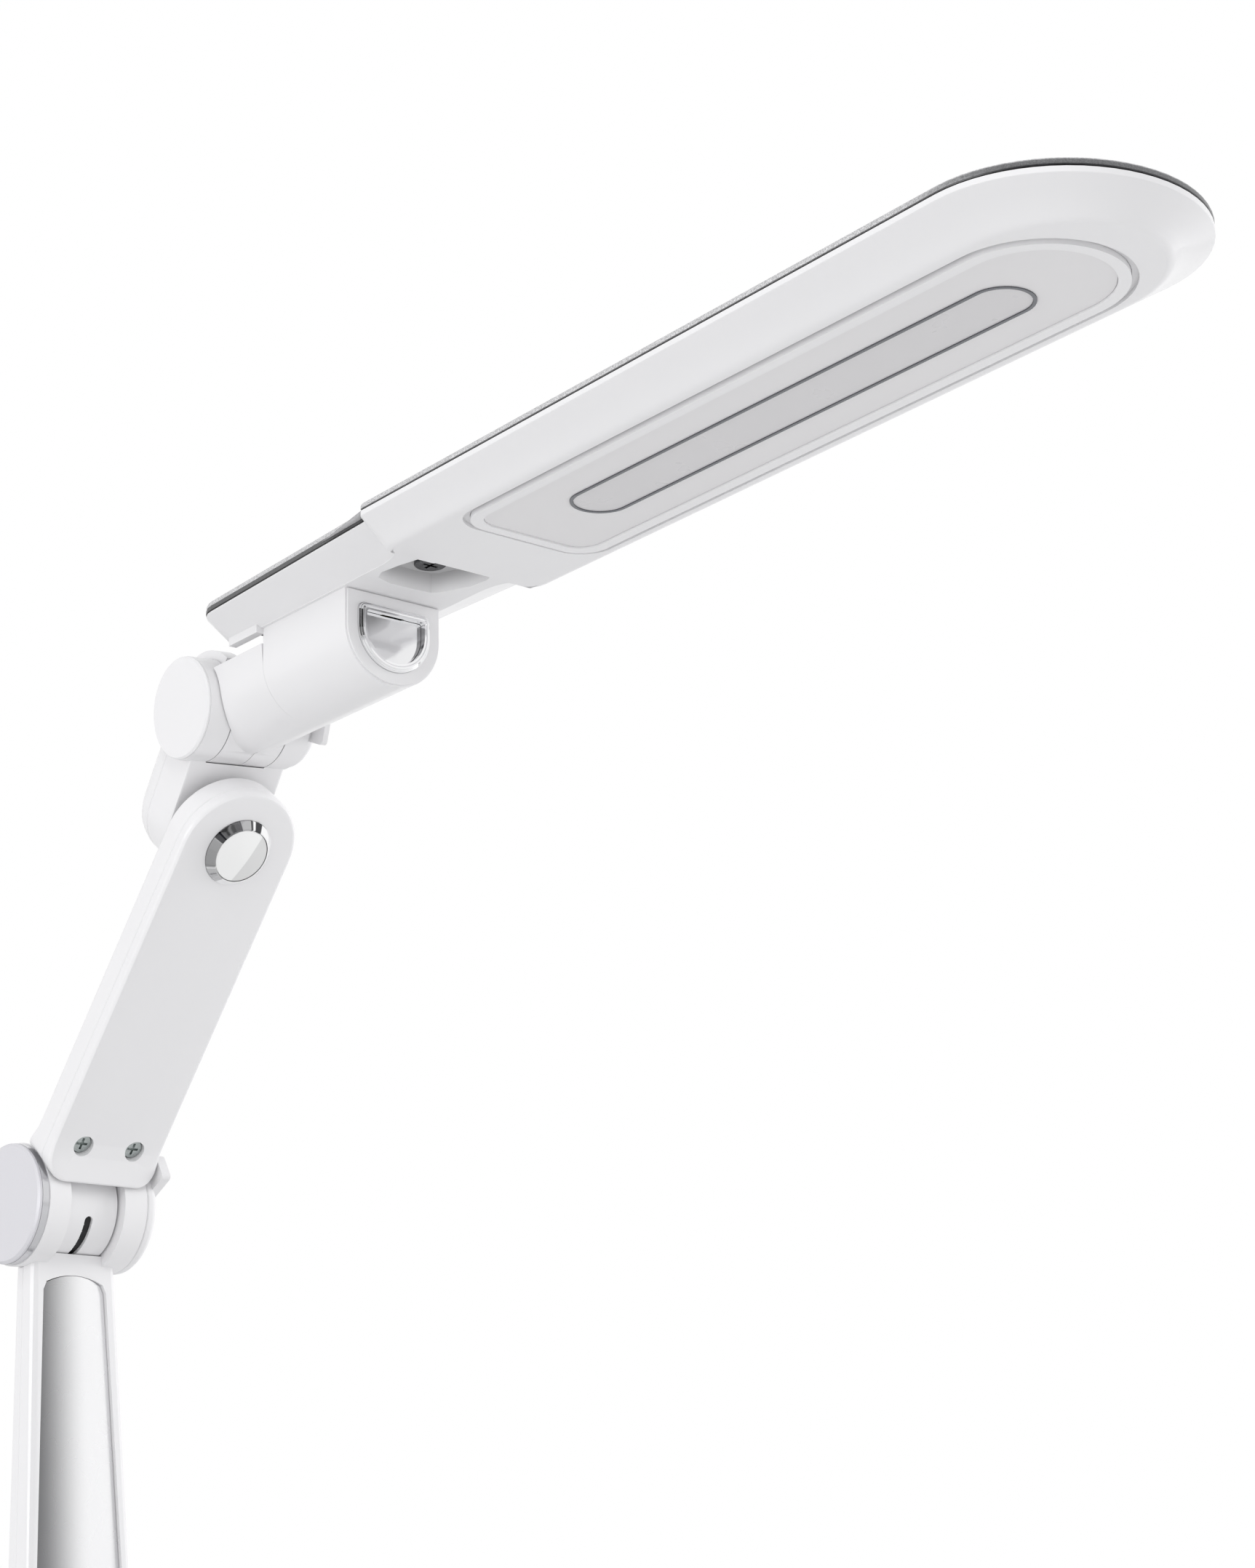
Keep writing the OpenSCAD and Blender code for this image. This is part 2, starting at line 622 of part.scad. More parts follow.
module elbow_cap_rim() {
    color(white) at_elbow() mirror([1, 0, 0]) turned_x()
        translate([elbow_cap_r - 2, elbow_left]) square([2, 2.5]);
}

module elbow_cap() {
    color(silver) at_elbow() mirror([1, 0, 0]) turned_x() polygon([[0, elbow_left + 2],
        [elbow_cap_r - 2.1, elbow_left + 2], [elbow_cap_r - 2.1, elbow_left + 2.55],
        [elbow_cap_r - 0.1, elbow_left + 2.55], [elbow_cap_r - 0.1, elbow_left + 3.4],
        [elbow_cap_r - 0.9, elbow_left + 4], [0, elbow_left + 4.1]]);
}

// Clamping knob: a domed disc with one thumb lug, drawn with its shaft along X
module clamp_knob(r, x0, depth, lug_x, lug_end, lug_r, lug_angle, bore_end) {
    difference() {
        union() {
            translate([x0, 0, 0]) turned_x() polygon(concat([[0, 0], [r - 0.3, 0], [r, 0.4]],
                [for (i = [0:8]) let (a = 90 * i / 8) [r * (0.42 + 0.58 * cos(a)), depth * (0.25 + 0.75 * sin(a))]],
                [[0, depth]]));
            rotate([lug_angle, 0, 0]) translate([lug_x, -lug_r, -4.6]) rotate([90, 0, 90])
                linear_extrude(lug_end - lug_x) {
                    translate([1.4, 1.4]) circle(1.4);
                    translate([1.4, 7.8]) circle(1.4);
                    translate([0, 1.4]) square([lug_r * 0.6, 6.4]);
                    translate([1.4, 0]) square([lug_r * 0.6, 9.2]);
                }
        }
        along_x(x0 - 1, bore_end, axle_r + run);
    }
}

module elbow_knob() {
    color(white) at_elbow() clamp_knob(elbow_knob_r, elbow_right + gap, 6.1, upper_half + 0.5,
        elbow_right + gap + 5.2, 25.6, -27, elbow_right + 4.7);
}

// ---------------------------------------------------------------- upper arm

module elbow_cuts() {
    along_x(-drum_half - slip, drum_half + slip, drum_clear_r);
    for (x = [-30, drum_half]) along_x(x, x + 30 - drum_half, ear_clear_r);
}

module upper_arm_front() {
    color(white) at_upper() difference() {
        plate() loft([upper_skin(seam_v, upper_seam, 0), upper_skin(0, upper_seam + seam_v, 0),
            upper_skin(0, upper_front - 1.8, flare_front),
            upper_skin(0.25, upper_front - 0.95, flare_front), upper_skin(0.85, upper_front - 0.3, flare_front),
            upper_skin(1.8, upper_front, flare_front), upper_skin(4.5, upper_front, flare_front),
            upper_skin(8, upper_front, flare_front), upper_skin(12.5, upper_front, flare_front)]);
        elbow_cuts();
        plate() for (s = [-1, 1]) translate([s * screw_half, screw_along, 0]) {
            cylinder(h = 20, r = 1.7);
            translate([0, 0, seat_n]) cylinder(h = 20, r = 3.4);
        }
        plate() translate([0, upper_len, 0]) {
            cylinder(h = 20, r = pin_r + run);
            translate([0, 0, 5.5]) cylinder(h = 9, r = 6.1);
            translate([0, 0, upper_front - 1.5]) cylinder(h = 9, r = ring_r + 0.06);
        }
    }
}

module upper_arm_rear() {
    color(white) at_upper() difference() {
        plate() loft([upper_skin(12.5, -upper_back, -flare_back), upper_skin(8, -upper_back, -flare_back),
            upper_skin(4.5, -upper_back, -flare_back), upper_skin(1.8, -upper_back, -flare_back),
            upper_skin(0.85, 0.3 - upper_back, -flare_back), upper_skin(0.25, 0.95 - upper_back, -flare_back),
            upper_skin(0, 1.8 - upper_back, -flare_back), upper_skin(0, upper_seam - seam_v, 0),
            upper_skin(seam_v, upper_seam, 0)]);
        elbow_cuts();
        translate([-drum_half - slip, -upper_seam - 1, 0]) cube([2 * drum_half + 2 * slip, 1 + upper_seam + 0.6, 40.1]);
        plate() for (s = [-1, 1]) translate([s * screw_half, screw_along, -1.6]) cylinder(h = 12, r = 1.55);
        plate() translate([0, upper_len, -20]) cylinder(h = 40, r = pin_r + run);
    }
}

module elbow_drum() {
    color(white) at_upper() difference() {
        union() {
            along_x(-drum_half, drum_half, drum_r);
            translate([-drum_half, -upper_seam, 0]) cube([2 * drum_half, upper_seam + 0.5, 40]);
        }
        along_x(-drum_half - 1, drum_half + 1, axle_r + run);
        for (s = [-1, 1]) translate([s * screw_half, 1, screw_along]) rotate([90, 0, 0]) cylinder(h = 9, r = 1.7);
        // Cable slot that opens downwards
        for (t = [0:8]) rotate([upper_tilt * -1 + 24 + 9 * t, 0, 0]) translate([-0.7, -drum_r - 1, 0])
            rotate([-90, 0, 0]) cylinder(h = 5, r = 1.8, $fn = 24);
    }
}

module elbow_washers() {
    color("dimgray") at_upper() for (s = [0, 180]) rotate([0, 0, s]) difference() {
        along_x(drum_half, drum_half + 0.65, drum_r - 1.2);
        along_x(drum_half - 1, drum_half + 2, axle_r + run);
    }
}

module upper_arm_screws() {
    color(steel) at_upper() plate() for (s = [-1, 1]) translate([s * screw_half, screw_along, seat_n])
        difference() {
            union() {
                cylinder(h = 1.9, r = 3);
                translate([0, 0, -6.6]) cylinder(h = 6.6, r = 1.45);
            }
            for (a = [0, 90]) rotate([0, 0, a]) translate([-2, -0.4, 0.9]) cube([4, 0.8, 2]);
        }
}

module swivel_ring() {
    color("lightgray") at_upper() plate() translate([0, upper_len, upper_front - 1.5]) rotate_extrude()
        polygon([[dome_r + 0.1, 0], [ring_r, 0], [ring_r, 1.9], [ring_r - 0.25, 2.2],
            [dome_r + 0.5, 3.75], [dome_r + 0.1, 3.85]]);
}

module swivel_cap() {
    color(silver) at_upper() plate() translate([0, upper_len, upper_front - 1.5]) rotate_extrude()
        polygon(concat([[0, 0], [dome_r, 0], [dome_r, 3.5]],
            [for (i = [0:8]) let (t = i / 8) [(dome_r - 0.2) * (1 - t), 3.7 + 0.8 * (1 - pow(1 - t, 1.6))]]));
}

module swivel_pin() {
    color(steel) at_upper() plate() translate([0, upper_len, 0]) {
        translate([0, 0, 5.6]) cylinder(h = upper_front - 1.6 - 5.6, r = 6);
        translate([0, 0, -link_seam_n + 0.9]) cylinder(h = 6 + link_seam_n, r = pin_r);
    }
}

module swivel_nut() {
    color("goldenrod") at_upper() plate() translate([0, upper_len, -link_seam_n + 1.3]) difference() {
        cylinder(h = 3.2, r = 6.5, $fn = 6);
        translate([0, 0, -1]) cylinder(h = 6, r = pin_r + run);
    }
}

// ---------------------------------------------------------------- link

link_screw_spots = [[10.5, 6], [-10.5, 6]];
link_slope = link_half + 0.04;

module at_knuckle_in_link() { translate([0, knuckle_back, knuckle_up]) children(); }

module link_front() {
    color(white) at_link() difference() {
        union() {
            plate() loft([lift(link_ring(seam_v, knuckle_up - 8), -link_seam_n),
                lift(link_ring(0, knuckle_up - 8), seam_v - link_seam_n),
                lift(link_ring(0, knuckle_up - 8), -link_front_n - 0.8),
                lift(link_ring(0.25, knuckle_up - 8), -link_front_n - 0.2),
                lift(link_ring(0.8, knuckle_up - 8), -link_front_n)]);
            at_knuckle_in_link() {
                along_x(-link_half, -block_left - 0.4, knuckle_r);
                along_x(block_right + 0.4, link_half, knuckle_r);
            }
        }
        at_knuckle_in_link() {
            along_x(-block_left - 0.4, block_right + 0.4, knuckle_r + gap);
            along_x(-link_half - 1, link_half + 1, axle_r + run);
        }
        plate() {
            translate([0, 0, -link_seam_n - 1]) cylinder(h = link_seam_n, r = 6 + run);
            translate([0, 0, -link_seam_n - 1]) cylinder(h = 5.8, r = 8.6);
            for (p = link_screw_spots) translate([p.x, p.y, -link_seam_n - 1]) cylinder(h = 5, r = 1.4);
        }
    }
}

module link_rear() {
    top = knuckle_up - 8;
    color(white) at_link() difference() {
        plate() loft([lift(link_ring(9, top), -link_back_n), lift(link_ring(5, top), -link_back_n + 1),
            lift(link_ring(2.2, top), -link_back_n + 3), lift(link_ring(0.6, top), -link_back_n + 6),
            lift(link_ring(0, top), -link_back_n + 9), lift(link_ring(0, top), -link_seam_n - seam_v),
            lift(link_ring(seam_v, top), -link_seam_n)]);
        at_knuckle_in_link() along_x(-30, 30, knuckle_r + gap);
        plate() {
            translate([0, 0, -link_seam_n - 1.5]) cylinder(h = 3, r = 8.6);
            for (p = link_screw_spots) translate([p.x, p.y, -40]) {
                cylinder(h = 30, r = 1.4);
                cylinder(h = 40 - link_seam_n - 4, r = 2.6);
            }
        }
    }
}

module link_screws() {
    color(steel) at_link() plate() for (p = link_screw_spots) translate([p.x, p.y, -link_seam_n - 4]) {
        translate([0, 0, -1.6]) cylinder(h = 1.6, r = 2.4);
        cylinder(h = 7.5, r = 1.25);
    }
}

module link_bush() {
    color("ivory") at_link() plate() translate([0, 0, -link_seam_n + 4.8]) difference() {
        cylinder(h = link_seam_n - link_front_n - 4.8, r = 6);
        translate([0, 0, -1]) cylinder(h = 20, r = pin_r + run);
    }
}

module swivel_washer() {
    color("dimgray") at_link() plate() translate([0, 0, -link_front_n]) difference() {
        cylinder(h = link_front_n - upper_back - slip, r = 13);
        translate([0, 0, -1]) cylinder(h = 20, r = pin_r + run);
    }
}

module knuckle_axle() {
    color(steel) at_knuckle() {
        along_x(-link_half, link_half + 4, axle_r);
        translate([-link_half - 1.6, 0, 0]) rotate([0, 90, 0]) cylinder(h = 1.6, r = 7, $fn = 6);
    }
}

module knuckle_cap_rim() {
    color(white) at_knuckle() mirror([1, 0, 0]) turned_x()
        translate([knuckle_r - 2, link_half]) square([2, 2.6]);
}

module knuckle_cap() {
    color(white) at_knuckle() mirror([1, 0, 0]) turned_x() polygon([[0, link_half + 2],
        [knuckle_r - 2.1, link_half + 2], [knuckle_r - 2.1, link_half + 2.65],
        [knuckle_r - 0.1, link_half + 2.65], [knuckle_r - 0.1, link_half + 3.2],
        [knuckle_r - 0.6, link_half + 3.7], [0, link_half + 3.8]]);
}

module knuckle_knob() {
    color(white) at_knuckle() clamp_knob(knuckle_r - 0.8, link_half + gap, 5.2, link_half + gap + 0.6,
        link_half + gap + 2.4, 22, -17, link_half + 4.2);
}

// ---------------------------------------------------------------- tilting sleeve and roll shaft

module barrel_profile(r, top) {
    intersection() {
        translate([-r, barrel_w - r]) square([2 * r, top - barrel_w + r]);
        union() {
            translate([0, barrel_w]) circle(r);
            translate([-r, barrel_w]) square([2 * r, r]);
        }
    }
}

module tilt_sleeve() {
    color(white) at_tilt() difference() {
        union() {
            forward(3, barrel_seam) barrel_profile(barrel_r - 0.1, sleeve_top);
            along_x(-block_left, block_right, knuckle_r);
            // Raised stop over the top of the block
            intersection() {
                along_x(-block_left, 5 - block_left, knuckle_r + 2.7);
                translate([-block_left, 0, 0]) rotate([90, 0, 90]) linear_extrude(5)
                    polygon([[0, 0], [-21, 21], [-21, 30], [12, 30]]);
            }
        }
        for (x = [-40, block_right]) along_x(x, x + (x < 0 ? 40 - block_left : 30), knuckle_r + 0.5);
        along_x(-block_left - 1, block_right + 1, axle_r + run);
        forward(17, barrel_seam + 1) translate([0, barrel_w]) circle(roll_shaft_r + run);
        // Parting line of the two halves of the block
        difference() {
            along_x(0.3, 0.7, knuckle_r + 1);
            along_x(0, 1, knuckle_r - 0.3);
            translate([-1, -60, -60]) cube([3, 60, 60 + barrel_w - 20]);
        }
    }
}

module knuckle_washers() {
    color("dimgray") at_tilt() for (x = [-block_left - 0.35, block_right]) difference() {
        along_x(x, x + 0.35, knuckle_r - 2);
        along_x(x - 1, x + 1.4, axle_r + run);
    }
}

module roll_shaft() {
    color(steel) at_tilt() forward(17, barrel_face - 5) translate([0, barrel_w]) difference() {
        circle(roll_shaft_r);
        circle(roll_shaft_r - 1.5);
    }
}

module roll_nut() {
    color("goldenrod") at_tilt() forward(barrel_face - 9, barrel_face - 5.4) translate([0, barrel_w])
        difference() {
            circle(8.5, $fn = 6);
            circle(roll_shaft_r + run);
        }
}

// ---------------------------------------------------------------- head

module roll_washer() {
    color("dimgray") at_roll() forward(barrel_seam + 0.1, barrel_seam + 1.4) translate([0, barrel_w])
        difference() {
            circle(washer_r);
            circle(roll_shaft_r + run);
        }
}

module trim_shape(inset) {
    r = trim_r - inset;
    c = max(0.4, 2.2 - 0.6 * inset);
    intersection() {
        translate([0, barrel_w]) circle(r);
        translate([-r, barrel_w - r]) square([2 * r, r + 0.5]);
    }
    translate([-r, barrel_w]) square([2 * r, trim_up - inset - c]);
    translate([-r + c, barrel_w]) square([2 * (r - c), trim_up - inset]);
    for (s = [-1, 1]) translate([s * (r - c), barrel_w + trim_up - inset - c]) circle(c);
}

module barrel_housing() {
    color(white) at_roll() difference() {
        union() {
            forward(cavity_u, barrel_face - 0.6) barrel_profile(barrel_r, neck_w);
            forward(barrel_face - 0.7, barrel_face) barrel_profile(barrel_r - 0.6, neck_w - 0.4);
        }
        forward(barrel_seam - 1, barrel_seam + 1.4) translate([0, barrel_w]) circle(washer_r + slip);
        forward(barrel_seam, barrel_face - 5) translate([0, barrel_w]) circle(roll_shaft_r + run);
        forward(barrel_face - 9.2, barrel_face - 3) translate([0, barrel_w]) circle(9.4);
        forward(barrel_face - 3.2, barrel_face + 1) trim_shape(-0.06);
    }
}

module barrel_trim_frame() {
    color("lightgray") at_roll() difference() {
        union() {
            forward(barrel_face - 3.2, barrel_face + 0.6) trim_shape(0);
            forward(barrel_face + 0.5, barrel_face + 1) trim_shape(0.35);
            forward(barrel_face + 0.9, barrel_face + 1.4) trim_shape(0.9);
        }
        forward(barrel_face - 2, barrel_face + 2) trim_shape(2.3);
        forward(barrel_face - 4, barrel_face) translate([0, barrel_w]) circle(6);
    }
}

module barrel_trim_mirror() {
    color(silver) at_roll() forward(barrel_face - 2, barrel_face - 0.6) trim_shape(2.4);
}

vent_pitch = 18.4;
vent_len = 9.6;
vent_first = groove_u + 16;

module vent_slots() {
    count = floor((groove_tip - groove_half - vent_first) / vent_pitch);
    slot_w = groove_gap - 0.5;
    mid = groove_gap / 2;
    for (s = [-1, 1], i = [0:count - 1]) translate([s * (groove_half - mid) - slot_w / 2,
        vent_first + i * vent_pitch, groove_w - 0.5]) cube([slot_w, vent_len, 2.7]);
    for (s = [-1, 1]) translate([0, groove_tip - groove_half, groove_w - 0.5]) rotate([0, 0, 74 - s * 24])
        rotate_extrude(angle = 32) translate([groove_half - mid - slot_w / 2, 0]) square([slot_w, 2.7]);
    for (s = [-1, 1]) translate([s * (groove_half - 10), groove_u + 10, groove_w - 0.5])
        rotate([0, 0, s > 0 ? -62 : 207]) rotate_extrude(angle = 35)
            translate([10 - mid - slot_w / 2, 0]) square([slot_w, 2.7]);
}

module head_housing() {
    color(white) at_roll() difference() {
        plan() union() {
            difference() {
                loft(concat([for (p = [[0, 1.2], [0.12, 0.6], [0.4, 0.15]])
                    lift(head_ring(bottom_w + p[0], p[1]), bottom_w + p[0])],
                    [for (w = [bottom_w + 0.95, neck_w + 0.2, neck_w + 1.1, neck_w + 2.2, neck_w + 3.6,
                        lip_w - 0.15]) lift(head_ring(w, 0), w)],
                    [for (w = [lip_w + 0.15, rim_w]) lift(head_ring(w, 0), w)]));
                translate([-60, tail_u - 5, bottom_w - 1])
                    cube([120, paddle_u - 0.3 - tail_u + 5, neck_w - bottom_w + 1]);
            }
            for (s = [0, 1]) mirror([s, 0, 0]) translate([barrel_r - 3.1, tail_u + 4, sleeve_top + 1.5])
                cube([neck_under_half + 1.8 - barrel_r + 3.1, cavity_u - tail_u - 4, neck_w - sleeve_top]);
        }
        // Hollow of the tail in which the sleeve rolls
        intersection() {
            forward(tail_u - 5, cavity_u) translate([0, barrel_w]) circle(cavity_r);
            translate([-30, -80, -20]) cube([60, 80, 20 + rim_w - 0.9]);
        }
        plan() {
            translate([0, 0, bottom_w - 1]) linear_extrude(groove_d + 1) light_shape(0);
            translate([0, 0, bottom_w]) linear_extrude(groove_w - bottom_w) light_shape(groove_gap - slip);
            translate([0, 0, bottom_w]) linear_extrude(20) light_shape(groove_half - stack_half);
            vent_slots();
            neck_pocket();
            translate([0, screw_u, pocket_w - 1]) cylinder(h = 1.9, r = 2.3);
        }
    }
}

// Scooped recess under the neck, with the screw in its ceiling
module neck_pocket() {
    low = [[-13, -22.4], [-7.5, -24.4], [0, -24.4], [6.6, -23.8], [8.6, -22], [12.8, -13], [13.6, -6.5],
        [12.9, -2.6], [9.8, 0.2], [-9, 0.2], [-12, -4], [-13.6, -11], [-14.6, -18.4]];
    translate([0, paddle_u, 0]) hull() {
        translate([0, 0, bottom_w - 1]) linear_extrude(neck_w - bottom_w + 1) polygon(low);
        translate([0, 0, pocket_w - 0.2]) linear_extrude(0.2) offset(delta = -1.1) polygon(low);
    }
}

module neck_screw() {
    color(steel) at_roll() plan() translate([0, screw_u, pocket_w - 1.3]) difference() {
        union() {
            cylinder(h = 0.3, r1 = 4.4, r2 = 4.7);
            translate([0, 0, 0.3]) cylinder(h = 1, r = 4.7);
            cylinder(h = 2, r = 2.2);
        }
        for (a = [0, 90]) rotate([0, 0, a]) translate([-2.4, -0.45, -1]) cube([4.8, 0.9, 1.8]);
    }
}

module cover_gasket() {
    color("black") at_roll() plan() translate([0, 0, rim_w]) linear_extrude(gasket_t) difference() {
        polygon(head_ring(rim_w, 0.7));
        polygon(head_ring(rim_w, 3.2));
    }
}

module top_cover() {
    color("gray") at_roll() plan() difference() {
        loft([for (p = [[0.1, 0], [0, 0.3], [0, cover_t - 0.9], [0.3, cover_t - 0.25], [1, cover_t]])
            lift(head_ring(rim_w, p[0]), cover_w + p[1])]);
        translate([0, 0, cover_w - 1]) linear_extrude(1.7) light_shape(4);
    }
}

module light_ring() {
    color(white) at_roll() plan() difference() {
        union() {
            translate([0, 0, bottom_w - 0.5]) linear_extrude(groove_w - bottom_w + 0.5)
                light_shape(groove_half - ring_half);
            translate([0, 0, groove_w]) linear_extrude(0.5) light_shape(groove_half - stack_half + slip);
        }
        translate([0, 0, bottom_w - 1]) linear_extrude(5) light_shape(groove_half - diffuser_half);
    }
}

module diffuser() {
    color("lightgray") at_roll() plan() difference() {
        translate([0, 0, bottom_w]) linear_extrude(groove_w - bottom_w + 0.5)
            light_shape(groove_half - diffuser_half + slip);
        translate([0, 0, bottom_w - 1]) linear_extrude(5) inlay_shape(-run);
    }
}

module inlay_frame() {
    color("lightgray") at_roll() plan() translate([0, 0, bottom_w - 0.35])
        linear_extrude(groove_w - bottom_w + 0.85) difference() {
            inlay_shape(0);
            inlay_shape(inlay_line);
        }
}

module inlay_lens() {
    color(silver) at_roll() plan() translate([0, 0, bottom_w - 0.05])
        linear_extrude(groove_w - bottom_w + 0.55) inlay_shape(inlay_line + run);
}

module light_guide() {
    color("azure") at_roll() plan() translate([0, 0, guide_w]) linear_extrude(guide_t)
        light_shape(groove_half - stack_half + slip);
}

module led_board() {
    color("white") at_roll() plan() translate([0, 0, board_w]) linear_extrude(1.2)
        light_shape(groove_half - stack_half + 0.6);
}

module leds() {
    pitch = (inlay_tip - inlay_u) / (led_count - 1);
    color("khaki") at_roll() plan() for (s = [-1, 1], i = [0:led_count - 1])
        translate([s * 13 - 1.4, inlay_u + i * pitch - 1.75, guide_w + guide_t + slip])
            cube([2.8, 3.5, board_w - guide_w - guide_t - slip]);
}

module heat_spreader() {
    color(silver) at_roll() plan() translate([0, 0, spread_w]) linear_extrude(cover_w + 0.6 - spread_w)
        light_shape(4.2);
}

base_housing();
base_hinge_ears();
base_bottom_plate();
base_ballast();
base_feet();
base_screws();
base_control_board();
base_switch();
power_button();
power_inlet();
base_hinge_axle();
base_hinge_caps();
base_hinge_washers();
lower_arm_front();
lower_arm_rear();
lower_arm_insert();
lower_arm_stiffener();
lower_arm_screws();
elbow_axle();
elbow_cap();
elbow_cap_rim();
elbow_knob();
upper_arm_front();
upper_arm_rear();
elbow_drum();
elbow_washers();
upper_arm_screws();
swivel_ring();
swivel_cap();
swivel_pin();
swivel_nut();
link_front();
link_rear();
link_bush();
swivel_washer();
link_screws();
knuckle_axle();
knuckle_cap();
knuckle_cap_rim();
knuckle_knob();
tilt_sleeve();
knuckle_washers();
roll_shaft();
roll_nut();
roll_washer();
barrel_housing();
barrel_trim_frame();
barrel_trim_mirror();
head_housing();
top_cover();
cover_gasket();
neck_screw();
light_ring();
diffuser();
inlay_frame();
inlay_lens();
light_guide();
led_board();
leds();
heat_spreader();
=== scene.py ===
"""A folding LED desk lamp: its finishes, fine pieces, studio and camera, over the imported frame.

The lamp stands on the table plane z = 0 and faces -Y. Its own sizes are in millimetres and are
scaled to Blender's metres when a mesh is made. The studio's are in metres.
"""

from __future__ import annotations

import functools
import json
import logging
import math
from collections.abc import Iterable, Sequence
from dataclasses import dataclass, field
from enum import Enum

import bmesh
import bpy
from mathutils import Matrix, Vector

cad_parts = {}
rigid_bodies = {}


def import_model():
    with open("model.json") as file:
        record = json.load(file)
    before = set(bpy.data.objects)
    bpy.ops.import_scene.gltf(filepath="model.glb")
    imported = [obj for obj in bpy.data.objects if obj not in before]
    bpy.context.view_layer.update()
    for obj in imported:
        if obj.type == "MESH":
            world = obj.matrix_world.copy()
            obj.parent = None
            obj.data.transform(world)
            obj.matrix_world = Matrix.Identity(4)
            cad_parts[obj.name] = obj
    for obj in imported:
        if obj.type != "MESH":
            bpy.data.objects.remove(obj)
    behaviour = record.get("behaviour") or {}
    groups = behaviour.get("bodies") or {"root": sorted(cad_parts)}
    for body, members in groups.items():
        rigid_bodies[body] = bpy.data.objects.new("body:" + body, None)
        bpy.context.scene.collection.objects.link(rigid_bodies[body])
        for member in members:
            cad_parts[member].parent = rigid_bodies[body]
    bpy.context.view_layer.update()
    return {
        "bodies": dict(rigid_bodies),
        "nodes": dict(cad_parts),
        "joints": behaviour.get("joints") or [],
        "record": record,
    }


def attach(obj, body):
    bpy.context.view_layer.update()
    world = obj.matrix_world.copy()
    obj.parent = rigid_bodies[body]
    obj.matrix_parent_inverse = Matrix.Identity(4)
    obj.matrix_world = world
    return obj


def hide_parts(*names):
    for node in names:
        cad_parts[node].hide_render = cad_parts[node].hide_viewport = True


LOG = logging.getLogger("desk_lamp")
MM = 0.001
SAME_PLACE = 0.002 * MM
PLASTIC_IOR = 1.49
Colour = tuple[float, float, float]
Point = tuple[float, float, float]
Pair = tuple[float, float]

# The part of a noise's values that counts, and its roughness.
NOISE_SPAN: Pair = (0.3, 0.7)
NOISE_ROUGHNESS = 0.55

# The sockets of a Mix node that mixes colours: its factor, two colours and result.
MIX_SHARE, MIX_FIRST, MIX_SECOND, MIX_RESULT = 0, 6, 7, 2


# ------------------------------------------------------------------ shader maths


class Signal:
    """The output socket of a shader node, ready for arithmetic."""

    def __init__(self, graph: Graph, socket: bpy.types.NodeSocket) -> None:
        """Keeps the socket and the graph that new Math nodes go into.

        Args:
            graph: The graph that the socket belongs to.
            socket: The output socket.
        """
        self.graph = graph
        self.socket = socket

    def _math(self, operation: str, *values: Signal | float) -> Signal:
        """A Math node on the values, in their order."""
        return self.graph.node(
            "ShaderNodeMath", {"operation": operation}, dict(enumerate(values))
        )

    def __add__(self, other: Signal | float) -> Signal:
        """This value plus the other."""
        return self._math("ADD", self, other)

    def __sub__(self, other: Signal | float) -> Signal:
        """This value less the other."""
        return self._math("SUBTRACT", self, other)

    def __rsub__(self, other: float) -> Signal:
        """The other value less this one."""
        return self._math("SUBTRACT", other, self)

    def __mul__(self, other: Signal | float) -> Signal:
        """This value times the other."""
        return self._math("MULTIPLY", self, other)

    def __pow__(self, other: Signal | float) -> Signal:
        """This value to the power of the other."""
        return self._math("POWER", self, other)

    def __rpow__(self, other: float) -> Signal:
        """The other value to the power of this one."""
        return self._math("POWER", other, self)

    def __neg__(self) -> Signal:
        """This value with its sign changed."""
        return self._math("MULTIPLY", self, -1.0)

    def __abs__(self) -> Signal:
        """This value without its sign."""
        return self._math("ABSOLUTE", self)

    __radd__ = __add__
    __rmul__ = __mul__

    def above(self, edge: float) -> Signal:
        """1 where this value is over the edge, and 0 elsewhere."""
        return self._math("GREATER_THAN", self, edge)

    def below(self, edge: float) -> Signal:
        """1 where this value is under the edge, and 0 elsewhere."""
        return self._math("LESS_THAN", self, edge)

    def within(self, low: float, high: float, soft: float) -> Signal:
        """1 between two values and 0 outside them, with soft edges."""
        return self.ramped(low - soft, low, 0, 1) * self.ramped(high, high + soft, 1, 0)

    def ramped(self, low: float, high: float, start: float, end: float) -> Signal:
        """Maps low..high smoothly to start..end and holds it there outside.

        Args:
            low: Value that gives start.
            high: Value that gives end.
            start: Result at low.
            end: Result at high.

        Returns:
            The mapped value.
        """
        return self.graph.node(
            "ShaderNodeMapRange",
            {"interpolation_type": "SMOOTHSTEP"},
            {"Value": self, "From Min": low, "From Max": high, "To Min": start, "To Max": end},
        )


